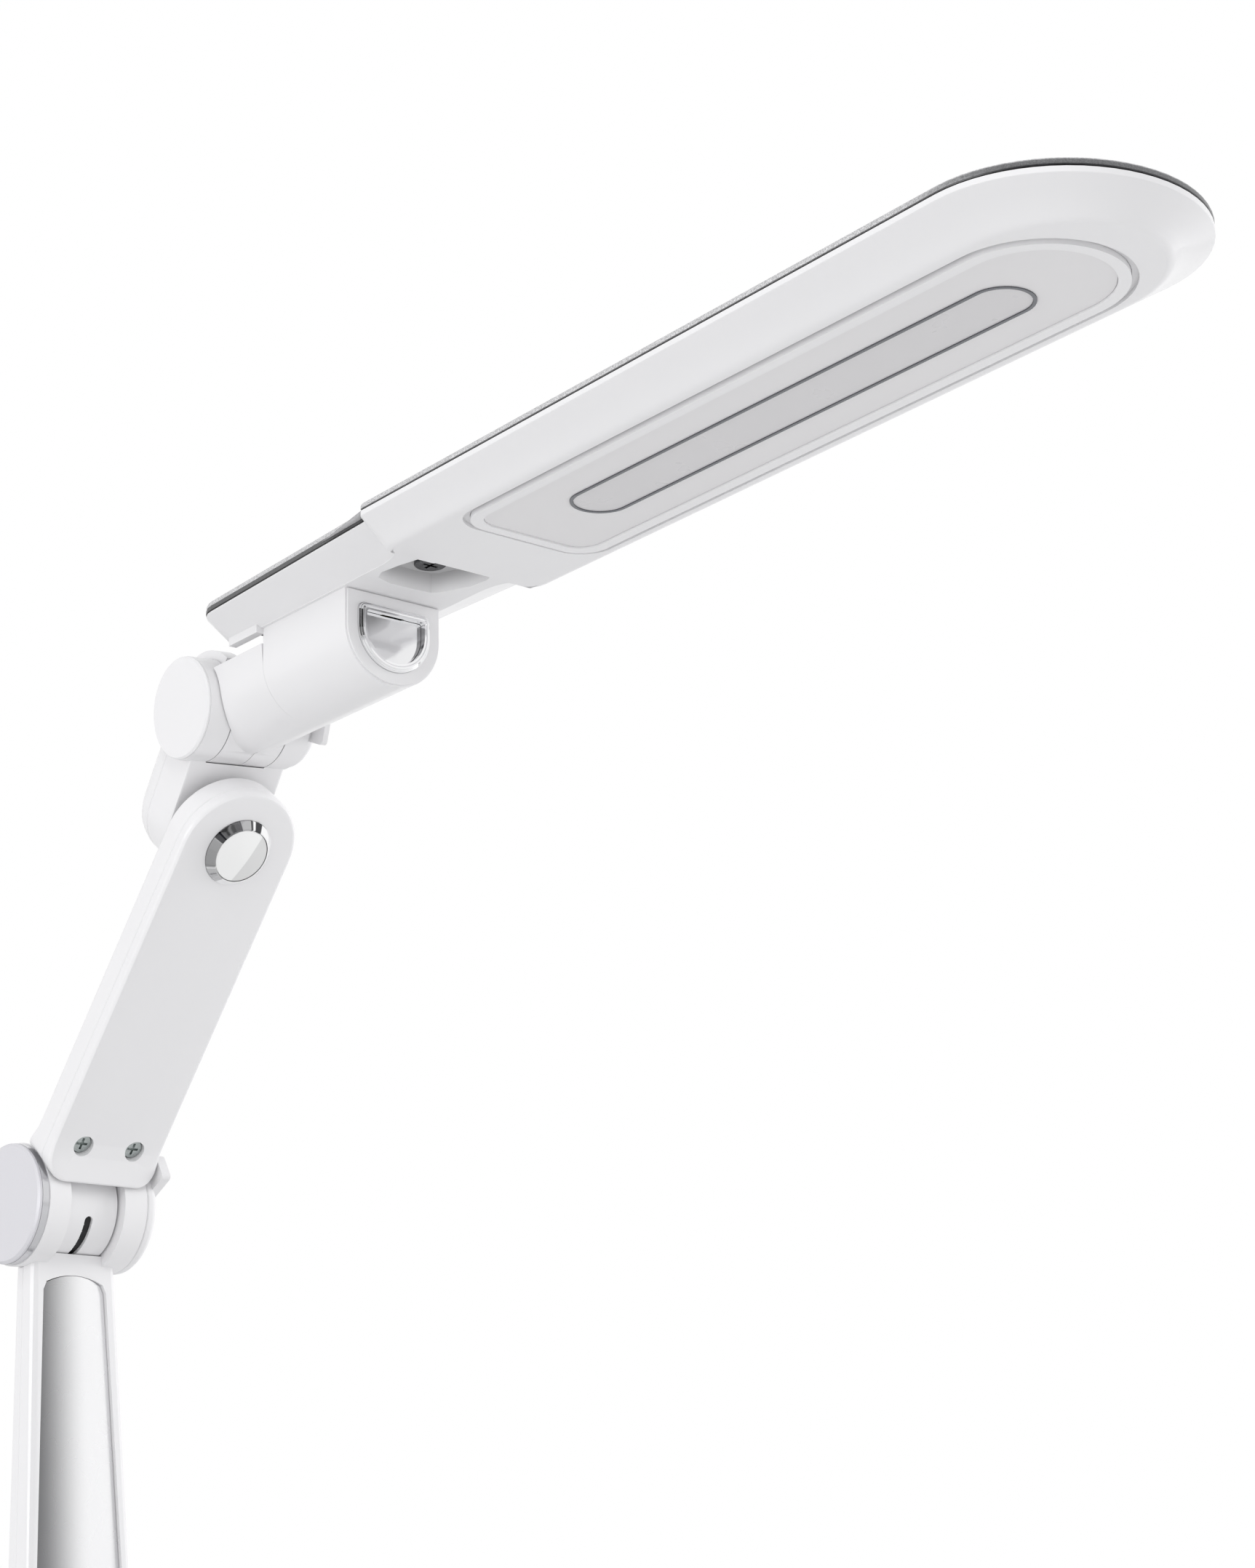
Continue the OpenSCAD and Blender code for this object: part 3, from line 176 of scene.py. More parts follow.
class Graph:
    """The node tree of one material."""

    def __init__(self, name: str) -> None:
        """Starts an empty material.

        Args:
            name: Name of the new material.
        """
        self.material = bpy.data.materials.new(name)
        self.material.use_nodes = True
        self.tree = self.material.node_tree
        self.tree.nodes.clear()

    def node(
        self,
        kind: str,
        settings: dict[str, object] | None = None,
        inputs: dict[str | int, object] | None = None,
        output: int | str = 0,
    ) -> Signal:
        """Adds one node.

        Args:
            kind: The node's type.
            settings: Its own settings, such as a Math node's operation, which are set first.
            inputs: Its sockets, by name or number, and the value or signal of each.
            output: The output that is returned, by name or number.

        Returns:
            The chosen output.
        """
        made = self.tree.nodes.new(kind)
        for key, value in (settings or {}).items():
            setattr(made, key, value)
        for key, value in (inputs or {}).items():
            if isinstance(value, Signal):
                self.tree.links.new(value.socket, made.inputs[key])
            elif isinstance(value, tuple) and len(value) == 3 and made.inputs[key].type == "RGBA":
                made.inputs[key].default_value = (*value, 1.0)
            else:
                made.inputs[key].default_value = value
        return Signal(self, made.outputs[output])

    def place(self) -> Signal:
        """The point on the object, in metres."""
        return self.node("ShaderNodeTexCoord", output="Object")

    def local(self, frame: Matrix) -> tuple[Signal, Signal, Signal]:
        """The point's three coordinates in another frame.

        Args:
            frame: Where the other frame stands in the lamp's, at rest.

        Returns:
            X, Y and Z, in millimetres.
        """
        origin, axes = frame.translation, frame.to_3x3().transposed()
        return tuple(
            self.node(
                "ShaderNodeVectorMath",
                {"operation": "DOT_PRODUCT"},
                {0: self.place(), 1: tuple(axis / MM)},
                "Value",
            )
            - origin.dot(axis) / MM
            for axis in axes
        )

    def noise(self, size: float, detail: float = 2.0, stretch: Point = (1, 1, 1)) -> Signal:
        """Soft noise from 0 to 1.

        Args:
            size: Width of one blotch in millimetres.
            detail: Octaves of finer noise.
            stretch: How much finer the noise is along X, Y and Z.

        Returns:
            The noise's value.
        """
        mapped = self.node("ShaderNodeMapping", None, {"Vector": self.place(), "Scale": stretch})
        return self.node(
            "ShaderNodeTexNoise",
            None,
            {
                "Vector": mapped,
                "Scale": 1.0 / (size * MM),
                "Detail": detail,
                "Roughness": NOISE_ROUGHNESS,
            },
        )

    def flecks(self, size: float) -> Signal:
        """Random grey of each cell of a fine mosaic, from 0 to 1.

        Args:
            size: Width of a cell in millimetres.

        Returns:
            The cell's value.
        """
        cells = self.node(
            "ShaderNodeTexVoronoi",
            None,
            {"Vector": self.place(), "Scale": 1.0 / (size * MM)},
            "Color",
        )
        return self.node("ShaderNodeSeparateColor", None, {0: cells})

    def blend(
        self, share: Signal | float, first: Colour | Signal, second: Colour | Signal
    ) -> Signal:
        """Mixes two colours.

        Args:
            share: How much of the second colour shows.
            first: Colour at share 0.
            second: Colour at share 1.

        Returns:
            The mixed colour.
        """
        return self.node(
            "ShaderNodeMix",
            {"data_type": "RGBA"},
            {MIX_SHARE: share, MIX_FIRST: first, MIX_SECOND: second},
            MIX_RESULT,
        )

    def bump(self, height: Signal, depth: float) -> Signal:
        """A normal that follows a height.

        Args:
            height: Height from 0 to 1.
            depth: Real depth in millimetres.

        Returns:
            The normal.
        """
        return self.node(
            "ShaderNodeBump", None, {"Height": height, "Distance": depth * MM, "Strength": 1.0}
        )

    def finish(self, **inputs: object) -> bpy.types.Material:
        """Ends the tree in a Principled shader.

        Args:
            **inputs: The shader's sockets, with underscores for spaces.

        Returns:
            The finished material.
        """
        shader = self.node(
            "ShaderNodeBsdfPrincipled", None, {k.replace("_", " "): v for k, v in inputs.items()}
        )
        self.node_out(shader)
        return self.material

    def node_out(self, shader: Signal) -> None:
        """Links a shader to the material's output."""
        out = self.tree.nodes.new("ShaderNodeOutputMaterial")
        self.tree.links.new(shader.socket, out.inputs["Surface"])


# ------------------------------------------------------------------ finishes


def scaled(colour: Colour, factor: float) -> Colour:
    """The colour, darker or lighter by a factor, and nowhere over 1."""
    return tuple(min(1.0, channel * factor) for channel in colour)


@dataclass(frozen=True)
class Finish:
    """A surface finish. Kinds of finish build their own node tree."""

    name: str
    colour: Colour = (0.8, 0.8, 0.8)
    roughness: float = 0.4

    def make(self) -> bpy.types.Material:
        """Builds the material."""
        raise NotImplementedError

    def tone(self, graph: Graph, size: float, spread: float) -> Signal:
        """The finish's colour, a little darker and lighter in soft blotches.

        Args:
            graph: The material's graph.
            size: Width of a blotch in millimetres.
            spread: How far the darkest blotch falls, as a share.

        Returns:
            The colour.
        """
        blotches = graph.noise(size, detail=3)
        return graph.blend(blotches, scaled(self.colour, 1 - spread), self.colour)

    def worn(self, wear: Signal, less: float, more: float, span: Pair = NOISE_SPAN) -> Signal:
        """The finish's roughness, which changes a little with another value.

        Args:
            wear: The value that changes it, such as a noise.
            less: How far the roughness falls at the low end of the span.
            more: How far it rises at the high end.
            span: The part of the value's range that counts.

        Returns:
            The roughness.
        """
        return wear.ramped(*span, self.roughness - less, self.roughness + more)


@dataclass(frozen=True)
class MouldedPlastic(Finish):
    """Injection-moulded plastic: faint orange peel, slow changes of tone and a thin clear gloss."""

    coat: float = 0.25
    coat_roughness: float = 0.08
    peel: float = 0.004
    fine_peel: float = 0.6

    def make(self) -> bpy.types.Material:
        """Builds the material.

        Returns:
            The material.
        """
        graph = Graph(self.name)
        fine, coarse = graph.noise(size=0.9, detail=3), graph.noise(size=6, detail=2)
        skin = fine * self.fine_peel + coarse * (1 - self.fine_peel)
        return graph.finish(
            Base_Color=self.tone(graph, size=38, spread=0.025),
            Roughness=self.worn(graph.noise(size=14, detail=3), less=0.04, more=0.05),
            Normal=graph.bump(skin, self.peel),
            Coat_Weight=self.coat,
            Coat_Roughness=self.coat_roughness,
            IOR=PLASTIC_IOR,
        )


@dataclass(frozen=True)
class RecessShadePlastic(MouldedPlastic):
    """The head's plastic, with painted shade that grows darker down its groove, its vents and the
    neck's recess.

    Places are in the head's frame: x across it, u along it from the knuckle, and w up.
    """

    groove_half: float = 24.7
    groove_u: float = 144.7
    round_u: float = 346.9
    round_reach: float = 100.0
    groove_w: Pair = (10.9, 11.8)
    groove_painted_shade: float = 0.13
    vent_w: Pair = (12.0, 12.5)
    vent_painted_shade: float = 0.75
    recess_half: float = 14.8
    recess_u: Pair = (92.0, 117.8)
    recess_w: Pair = (12.75, 18.2)
    recess_painted_shade: float = 0.4
    shadow: Colour = (0.03, 0.03, 0.032)

    def tone(self, graph: Graph, size: float, spread: float) -> Signal:
        """The plastic's colour, with painted shade down its groove, its vents and its recess.

        Args:
            graph: The material's graph.
            size: Width of a blotch in millimetres.
            spread: How far the darkest blotch falls, as a share.

        Returns:
            The colour.
        """
        x, back, w = graph.local(Stance().head)
        u, reach = -back, self.round_reach
        beyond = u.ramped(self.round_u, self.round_u + reach, 0, reach)
        in_groove = ((x * x + beyond * beyond) ** 0.5).below(self.groove_half)
        groove = w.ramped(*self.groove_w, 0, self.groove_painted_shade)
        vents = w.ramped(*self.vent_w, 0, self.vent_painted_shade)
        tail, front = self.recess_u
        in_recess = abs(x).below(self.recess_half) * u.above(tail) * u.below(front)
        recess = w.ramped(*self.recess_w, 0, self.recess_painted_shade)
        # painted shade: darker with depth in the groove, the vents and the neck's recess
        dark = in_groove * u.above(self.groove_u) * (groove + vents) + in_recess * recess
        return graph.blend(dark, super().tone(graph, size, spread), self.shadow)


@dataclass(frozen=True)
class PaintedReflectionMetal(Finish):
    """A plated disc or ring of the swivel, with painted reflections that change round its axis.

    Each sector has its first and last angle in degrees and how dark its painted reflection is. Past
    flat_beyond, measured along flat_run, a painted reflection makes the disc a little darker.
    """

    metallic: float = 0.55
    reflection_sectors: tuple[tuple[float, float, float], ...] = ()
    sector_soft: float = 2.5
    flat_run: Pair = (0.97, 0.26)
    flat_beyond: float = 99.0
    flat_soft: float = 0.4
    flat_painted_reflection: float = 0.22
    rim: Pair = (0.0, 9.0)
    lathe_scale: float = 2600.0
    lathe_depth: float = 0.0012
    shadow: Colour = (0.02, 0.02, 0.024)

    def make(self) -> bpy.types.Material:
        """Builds the material.

        Returns:
            The material.
        """
        graph, stance = Graph(self.name), Stance()
        swivel = stance.upper @ Matrix.Translation((0, 0, stance.upper_len * MM))
        x, _, z = graph.local(swivel)
        run_x, run_z = self.flat_run
        flat_end = self.flat_beyond + self.flat_soft
        # painted reflection: a little darker past a line across the disc
        shade = (x * run_x - z * run_z).ramped(self.flat_beyond, flat_end, 0, self.flat_painted_reflection)
        turn = graph.node("ShaderNodeMath", {"operation": "ARCTAN2"}, {0: z, 1: x})
        degrees = turn * (180 / math.pi)
        # painted reflections: darker sectors round the axis
        for low, high, dark in self.reflection_sectors:
            shade = shade + degrees.within(low, high, self.sector_soft) * dark
        lathe = graph.node(
            "ShaderNodeTexNoise", None, {"Vector": graph.place(), "Scale": self.lathe_scale}
        )
        return graph.finish(
            Base_Color=graph.blend(shade, self.colour, self.shadow),
            Metallic=self.metallic,
            Roughness=self.worn((x * x + z * z) ** 0.5, less=0, more=0.05, span=self.rim),
            Normal=graph.bump(lathe, self.lathe_depth),
        )


@dataclass(frozen=True)
class MattePlastic(Finish):
    """Plastic with a fine spark-eroded grain."""

    grain: float = 0.012

    def make(self) -> bpy.types.Material:
        """Builds the material.

        Returns:
            The material.
        """
        graph = Graph(self.name)
        return graph.finish(
            Base_Color=self.tone(graph, size=9, spread=0.12),
            Roughness=self.worn(graph.noise(size=3, detail=2), less=0.05, more=0.06),
            Normal=graph.bump(graph.noise(size=0.35, detail=4), self.grain),
        )


@dataclass(frozen=True)
class FleckedPaint(Finish):
    """Metallic paint with coarse bright and dark flakes."""

    flake: float = 0.32
    flake_span: Pair = (0.15, 0.95)
    spread: float = 0.45
    metallic: float = 0.75
    grain: float = 0.006
    coat: float = 0.2

    def shaded(self, graph: Graph, base: Signal) -> Signal:
        """The paint's colour with any painted shade over the piece. Plain paint has none."""
        return base

    def make(self) -> bpy.types.Material:
        """Builds the material.

        Returns:
            The material.
        """
        graph = Graph(self.name)
        flakes = graph.flecks(self.flake)
        dark, light = scaled(self.colour, 1 - self.spread), scaled(self.colour, 1 + self.spread)
        base = graph.blend(flakes.ramped(*self.flake_span, 0, 1), dark, light)
        return graph.finish(
            Base_Color=self.shaded(graph, base),
            Metallic=self.metallic,
            Roughness=self.worn(flakes, less=0.08, more=0.1, span=(0, 1)),
            Normal=graph.bump(graph.noise(size=self.flake * 1.5, detail=2), self.grain),
            Coat_Weight=self.coat,
        )


@dataclass(frozen=True)
class CoverPaint(FleckedPaint):
    """The head cover's paint, with painted shade round the side of its tip and along its lower
    edge.

    Places are in the head's frame: u along it from the knuckle, and w up.
    """

    tip_u: Pair = (334.0, 372.0)
    tip_w: Pair = (21.35, 21.8)
    tip_painted_shade: float = 0.78
    tip_shadow: Colour = (0.06, 0.062, 0.066)
    edge_w: Pair = (20.2, 20.45)
    edge_painted_shade: float = 0.85
    edge_shadow: Colour = (0.02, 0.02, 0.022)

    def shaded(self, graph: Graph, base: Signal) -> Signal:
        """The paint's colour, with painted shade at its tip and along its lower edge.

        Args:
            graph: The material's graph.
            base: The paint's even colour.

        Returns:
            The colour.
        """
        _, back, w = graph.local(Stance().head)
        # painted shade: the side of the tip and the lower edge are darker
        tip = (-back).ramped(*self.tip_u, 0, self.tip_painted_shade) * w.ramped(*self.tip_w, 1, 0)
        edge = w.ramped(*self.edge_w, self.edge_painted_shade, 0)
        return graph.blend(edge, graph.blend(tip, base, self.tip_shadow), self.edge_shadow)


@dataclass(frozen=True)
class SatinSilver(Finish):
    """Smooth silver with a very fine flake and a slow sheen."""

    metallic: float = 0.9
    grain: float = 0.0015

    def make(self) -> bpy.types.Material:
        """Builds the material.

        Returns:
            The material.
        """
        graph = Graph(self.name)
        return graph.finish(
            Base_Color=self.tone(graph, size=0.3, spread=0.07),
            Metallic=self.metallic,
            Roughness=self.worn(graph.noise(size=20, detail=2), less=0.03, more=0.04),
            Normal=graph.bump(graph.noise(size=0.22, detail=2), self.grain),
        )


@dataclass(frozen=True)
class ReflectionPaintedSilver(SatinSilver):
    """Satin silver on a crowned sheet, with a painted reflection that darkens it to its left edge
    and painted shade at its right edge; brightest right of its middle.

    Places are millimetres across, from the middle of the arm.
    """

    left_x: Pair = (-14.5, 4.5)
    left_painted_reflection: float = 0.8
    right_x: Pair = (11.5, 15.0)
    right_painted_shade: float = 0.2
    shadow: Colour = (0.04, 0.04, 0.045)

    def tone(self, graph: Graph, size: float, spread: float) -> Signal:
        """The sheet's colour, with its painted reflection and painted shade across.

        Args:
            graph: The material's graph.
            size: Width of a blotch in millimetres.
            spread: How far the darkest blotch falls, as a share.

        Returns:
            The colour.
        """
        x, _, _ = graph.local(Stance().elbow)
        # painted reflection darkens the left side, painted shade the right edge
        left = x.ramped(*self.left_x, self.left_painted_reflection, 0)
        right = x.ramped(*self.right_x, 0, self.right_painted_shade)
        return graph.blend(left + right, super().tone(graph, size, spread), self.shadow)


@dataclass(frozen=True)
class Chrome(Finish):
    """Plated metal with faint wipe marks."""

    wave: float = 0.002

    def make(self) -> bpy.types.Material:
        """Builds the material.

        Returns:
            The material.
        """
        graph = Graph(self.name)
        wipes = graph.noise(size=2.5, detail=4, stretch=(1, 6, 1))
        return graph.finish(
            Base_Color=self.tone(graph, size=12, spread=0.04),
            Metallic=1.0,
            Roughness=self.worn(wipes, less=0, more=0.05, span=(0.35, 0.75)),
            Normal=graph.bump(graph.noise(size=5, detail=1), self.wave),
        )


@dataclass(frozen=True)
class WorkedSteel(Finish):
    """Turned or pressed metal: fine tool marks across one axis."""

    marks: Point = (1, 12, 12)
    mark_depth: float = 0.006
    stain: float = 0.7

    def make(self) -> bpy.types.Material:
        """Builds the material.

        Returns:
            The material.
        """
        graph = Graph(self.name)
        tool = graph.noise(size=0.8, detail=3, stretch=self.marks)
        stained = tool.ramped(*NOISE_SPAN, 0, 1)
        return graph.finish(
            Base_Color=graph.blend(stained, scaled(self.colour, self.stain), self.colour),
            Metallic=1.0,
            Roughness=self.worn(tool, less=0.08, more=0.1),
            Normal=graph.bump(tool, self.mark_depth),
        )


@dataclass(frozen=True)
class OpalSheet(Finish):
    """Milky acrylic that spreads light, with a very fine prism texture."""

    prism: float = 0.35
    prism_depth: float = 0.003

    def make(self) -> bpy.types.Material:
        """Builds the material.

        Returns:
            The material.
        """
        graph = Graph(self.name)
        return graph.finish(
            Base_Color=self.tone(graph, size=60, spread=0.02),
            Roughness=self.worn(graph.noise(size=10, detail=2), less=0.03, more=0.05),
            Normal=graph.bump(graph.noise(size=self.prism, detail=2), self.prism_depth),
            IOR=PLASTIC_IOR,
        )


@dataclass(frozen=True)
class ClearSheet(Finish):
    """Clear acrylic with a grid of fine printed dots."""

    pitch: float = 2.0
    dot: Pair = (0.2, 0.3)
    ink: Colour = (0.95, 0.95, 0.95)
    ink_roughness: float = 0.5
    clear: float = 0.7

    def make(self) -> bpy.types.Material:
        """Builds the material.

        Returns:
            The material.
        """
        graph = Graph(self.name)
        dots = graph.node(
            "ShaderNodeTexVoronoi",
            None,
            {"Vector": graph.place(), "Scale": 1.0 / (self.pitch * MM), "Randomness": 0.0},
        )
        print_mask = dots.ramped(*self.dot, 1, 0)
        return graph.finish(
            Base_Color=graph.blend(print_mask, self.colour, self.ink),
            Roughness=print_mask.ramped(0, 1, self.roughness, self.ink_roughness),
            Transmission_Weight=self.clear,
        )


@dataclass(frozen=True)
class CircuitBoard(Finish):
    """Solder mask over copper tracks, which stand a little proud."""

    track: Colour = (0.12, 0.4, 0.2)
    pitch: float = 2.4
    wander: float = 0.35
    track_edge: Pair = (0.06, 0.1)
    track_height: float = 0.035
    coat: float = 0.4

    def make(self) -> bpy.types.Material:
        """Builds the material.

        Returns:
            The material.
        """
        graph = Graph(self.name)
        scale = 1.0 / (self.pitch * MM)
        cells = graph.node(
            "ShaderNodeTexVoronoi",
            {"feature": "DISTANCE_TO_EDGE"},
            {"Vector": graph.place(), "Scale": scale, "Randomness": self.wander},
        )
        tracks = cells.ramped(*self.track_edge, 1, 0)
        return graph.finish(
            Base_Color=graph.blend(tracks, self.colour, self.track),
            Roughness=self.worn(tracks, less=0, more=-0.1, span=(0, 1)),
            Normal=graph.bump(tracks, self.track_height),
            Coat_Weight=self.coat,
        )


@dataclass(frozen=True)
class Casting(Finish):
    """Rough cast or moulded body with pits."""

    pit: float = 0.15
    pit_tone: float = 0.6
    metallic: float = 0.0

    def make(self) -> bpy.types.Material:
        """Builds the material.

        Returns:
            The material.
        """
        graph = Graph(self.name)
        rough = graph.noise(size=2.2, detail=6)
        return graph.finish(
            Base_Color=graph.blend(rough, scaled(self.colour, self.pit_tone), self.colour),
            Metallic=self.metallic,
            Roughness=self.worn(rough, less=0.1, more=0.1, span=(0.2, 0.8)),
            Normal=graph.bump(rough, self.pit),
        )


class Finishes(Enum):
    """Every finish on the lamp, by the maker's name for it."""

    WHITE_GLOSS = MouldedPlastic("white_gloss_plastic", (0.86, 0.855, 0.865), 0.32)
    WHITE_SATIN = MouldedPlastic("white_satin_plastic", (0.84, 0.835, 0.845), 0.45, coat=0.1)
    # painted shade in the head's groove, vents and neck recess
    HEAD_GLOSS = RecessShadePlastic("head_gloss_plastic_painted_shade", (0.86, 0.855, 0.865), 0.32)
    # painted shade at the cover's tip and lower edge
    COVER = CoverPaint("cover_flecked_silver_painted_shade", (0.6, 0.6, 0.61), 0.38, flake=0.2, spread=0.3)
    # painted reflection and painted shade across the insert
    INSERT = ReflectionPaintedSilver("insert_satin_silver_painted_reflection", (0.96, 0.96, 0.97), 0.27, metallic=0.85)
    # painted reflection: the cap is darker past a line across it
    SWIVEL_CAP = PaintedReflectionMetal("swivel_cap_painted_sheen", (0.98, 0.98, 0.975), 0.2, flat_beyond=2.2)
    # painted reflections: dark sectors round the chrome ring
    SWIVEL_RING = PaintedReflectionMetal(
        "swivel_ring_painted_reflections",
        (0.95, 0.95, 0.955),
        0.06,
        metallic=1.0,
        reflection_sectors=(
            (-179.9, -150.0, 0.62),
            (-148.0, -146.5, 0.5),
            (-142.0, -112.0, 0.4),
            (71.0, 83.0, 0.95),
            (90.5, 92.0, 0.9),
            (94.0, 112.0, 0.5),
            (114.0, 150.0, 0.8),
            (151.0, 160.0, 0.93),
            (163.0, 179.9, 0.6),
        ),
    )
    CAP_SILVER = SatinSilver("cap_silver_paint", (0.73, 0.725, 0.76), 0.42, metallic=0.35)
    RIM_SILVER = SatinSilver("rim_satin_silver", (0.66, 0.66, 0.68), 0.22, metallic=1.0)
    CHROME = Chrome("bright_chrome", (0.9, 0.9, 0.91), 0.04)
    SHADED_CHROME = Chrome("shaded_chrome", (0.86, 0.86, 0.87), 0.07)
    # painted shade: chrome made dark so that the inlay's frame shows as a thin dark line
    SHADED_LINE_CHROME = Chrome("inlay_line_painted_shade_chrome", (0.2, 0.205, 0.22), 0.12)
    SCREW = WorkedSteel("screw_bright_plate", (0.52, 0.56, 0.55), 0.33)
    # painted shade: the neck screw sits in the recess's shade, so its steel is made dark
    SHADED_SCREW_STEEL = WorkedSteel("neck_screw_painted_shade_steel", (0.1, 0.1, 0.105), 0.3)
    # painted shade: black for the sleeve that darkens the drum's slot
    SHADE = MattePlastic("slot_painted_shade_black", (0.012, 0.012, 0.013), 0.7)
    STEEL = WorkedSteel("turned_steel", (0.56, 0.56, 0.58), 0.32)
    BRASS = WorkedSteel("turned_brass", (0.75, 0.55, 0.24), 0.3)
    IRON = Casting("cast_ballast", (0.16, 0.16, 0.17), 0.7, metallic=0.4)
    PLATE = FleckedPaint("powder_coated_plate", (0.09, 0.09, 0.095), 0.55, flake=0.5, spread=0.2)
    RUBBER = Casting("foot_rubber", (0.03, 0.03, 0.03), 0.75, pit=0.03)
    BLACK = MattePlastic("black_plastic", (0.03, 0.03, 0.03), 0.45)
    WASHER = MattePlastic("washer_nylon", (0.12, 0.12, 0.125), 0.5)
    IVORY = MattePlastic("bush_acetal", (0.78, 0.75, 0.66), 0.35)
    BOARD = CircuitBoard("green_circuit_board", (0.02, 0.14, 0.06), 0.35)
    LED_BOARD = CircuitBoard("white_circuit_board", (0.85, 0.85, 0.83), 0.35, (0.74, 0.74, 0.72))
    LED = OpalSheet("led_phosphor", (0.9, 0.72, 0.2), 0.35)
    OPAL = OpalSheet("diffuser_opal", (0.79, 0.78, 0.788), 0.38)
    LENS = OpalSheet("inlay_opal", (0.69, 0.68, 0.69), 0.3)
    ACRYLIC = ClearSheet("light_guide_acrylic", (0.9, 0.94, 0.96), 0.06)


@functools.cache
def material_of(finish: Finishes) -> bpy.types.Material:
    """The finish's one material, built when it is first asked for."""
    return finish.value.make()


# ------------------------------------------------------------------ places and meshes


@dataclass(frozen=True)
class Stance:
    """Where each moving part stands, as in the CAD source. Angles in degrees."""

    upper_tilt: float = 42.8
    link_swing: float = 5.1
    head_pitch: float = 41.3
    head_roll: float = 5.4
    elbow_z: float = 292.0
    upper_len: float = 134.6
    knuckle_back: float = 15.8
    knuckle_up: float = 35.5
    barrel_w: float = 2.0

    def _turn(self, angle: float, axis: str) -> Matrix:
        """Rotation about one axis."""
        return Matrix.Rotation(math.radians(angle), 4, axis)

    def _shift(self, x: float, y: float, z: float) -> Matrix:
        """Translation by millimetres."""
        return Matrix.Translation(Vector((x, y, z)) * MM)

    @property
    def elbow(self) -> Matrix:
        """Frame of the elbow axis."""
        return self._shift(0, 0, self.elbow_z)

    @property
    def upper(self) -> Matrix:
        """Frame of the upper arm, with Z along it and -Y to its front."""
        return self.elbow @ self._turn(self.upper_tilt, "X")

    @property
    def link(self) -> Matrix:
        """Frame of the link, from the swivel."""
        return self.upper @ self._shift(0, 0, self.upper_len) @ self._turn(-self.link_swing, "Y")

    @property
    def knuckle(self) -> Matrix:
        """Frame of the knuckle axis in the link."""
        return self.link @ self._shift(0, self.knuckle_back, self.knuckle_up)

    @property
    def sleeve(self) -> Matrix:
        """Frame of the tilting sleeve."""
        return self.knuckle @ self._turn(-self.head_pitch, "X")

    @property
    def head(self) -> Matrix:
        """Frame of the rolled head."""
        lift = self._shift(0, 0, self.barrel_w)
        return self.sleeve @ lift @ self._turn(self.head_roll, "Y") @ lift.inverted()


def smooth_edges(piece: bpy.types.Object, crease: float = 27.0) -> None:
    """Rounds the shading across shallow facets and keeps true edges crisp.

    Args:
        piece: The mesh object.
        crease: Angle in degrees above which an edge stays an edge.
    """
    for face in piece.data.polygons:
        face.use_smooth = True
    weld = piece.modifiers.new("join_faces", "WELD")
    weld.merge_threshold = SAME_PLACE
    split = piece.modifiers.new("true_edges", "EDGE_SPLIT")
    split.split_angle = math.radians(crease)
    split.use_edge_sharp = False
    even = piece.modifiers.new("even_shading", "WEIGHTED_NORMAL")
    even.mode = "FACE_AREA_WITH_ANGLE"
    even.weight = 50


def dress(piece: bpy.types.Object, finish: Finishes) -> None:
    """Gives a node of the frame its finish and smooth shading.

    Args:
        piece: The node's object.
        finish: What it is made of.
    """
    piece.data.materials.clear()
    piece.data.materials.append(material_of(finish))
    smooth_edges(piece)


def new_piece(name: str, mesh: bmesh.types.BMesh, finish: Finishes, body: str) -> bpy.types.Object:
    """Turns a bmesh in metres, in the lamp's frame, into a piece that rides on a body.

    Args:
        name: The piece's name.
        mesh: Its geometry, which is freed.
        finish: What it is made of.
        body: The body that it moves with.

    Returns:
        The new object.
    """
    data = bpy.data.meshes.new(name)
    bmesh.ops.recalc_face_normals(mesh, faces=mesh.faces)
    mesh.to_mesh(data)
    mesh.free()
    data.materials.append(material_of(finish))
    piece = bpy.data.objects.new(name, data)
    bpy.context.scene.collection.objects.link(piece)
    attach(piece, body)
    LOG.info("made %s in %s on %s", name, finish.value.name, body)
    return piece


def angles(first: float, step: float, count: int) -> list[float]:
    """Even steps round a curve, given in degrees and returned in radians."""
    return [math.radians(first + step * i) for i in range(count)]


def lofted(
    rings: Sequence[Sequence[Point]], frame: Matrix, loop: bool = False
) -> bmesh.types.BMesh:
    """Joins rings of equal length into a closed solid.

    Args:
        rings: Rings of points in millimetres, each going round the same way.
        frame: Where their own frame stands.
        loop: Whether the last ring joins the first, in place of two end faces.

    Returns:
        The solid, in metres.
    """
    mesh = bmesh.new()
    made = [[mesh.verts.new(frame @ (Vector(point) * MM)) for point in ring] for ring in rings]
    for low, high in zip(made, made[1:] + (made[:1] if loop else [])):
        for i, vert in enumerate(low):
            k = (i + 1) % len(low)
            mesh.faces.new((vert, low[k], high[k], high[i]))
    if not loop:
        mesh.faces.new(made[0])
        mesh.faces.new(reversed(made[-1]))
    return mesh


# ------------------------------------------------------------------ the lamp


@dataclass
class SubAssembly:
    """Some of the lamp's pieces and their finishes."""

    frame: dict
    stance: Stance
    finishes: dict[str, Finishes] = field(default_factory=dict)

    def dress(self) -> None:
        """Gives each CAD node its finish and smooth shading."""
        for node, finish in self.finishes.items():
            dress(self.frame["nodes"][node], finish)
            LOG.info("dressed %s in %s", node, finish.value.name)

    def build(self) -> None:
        """Makes the pieces that the CAD solids only stand for. Most sub-assemblies have none."""


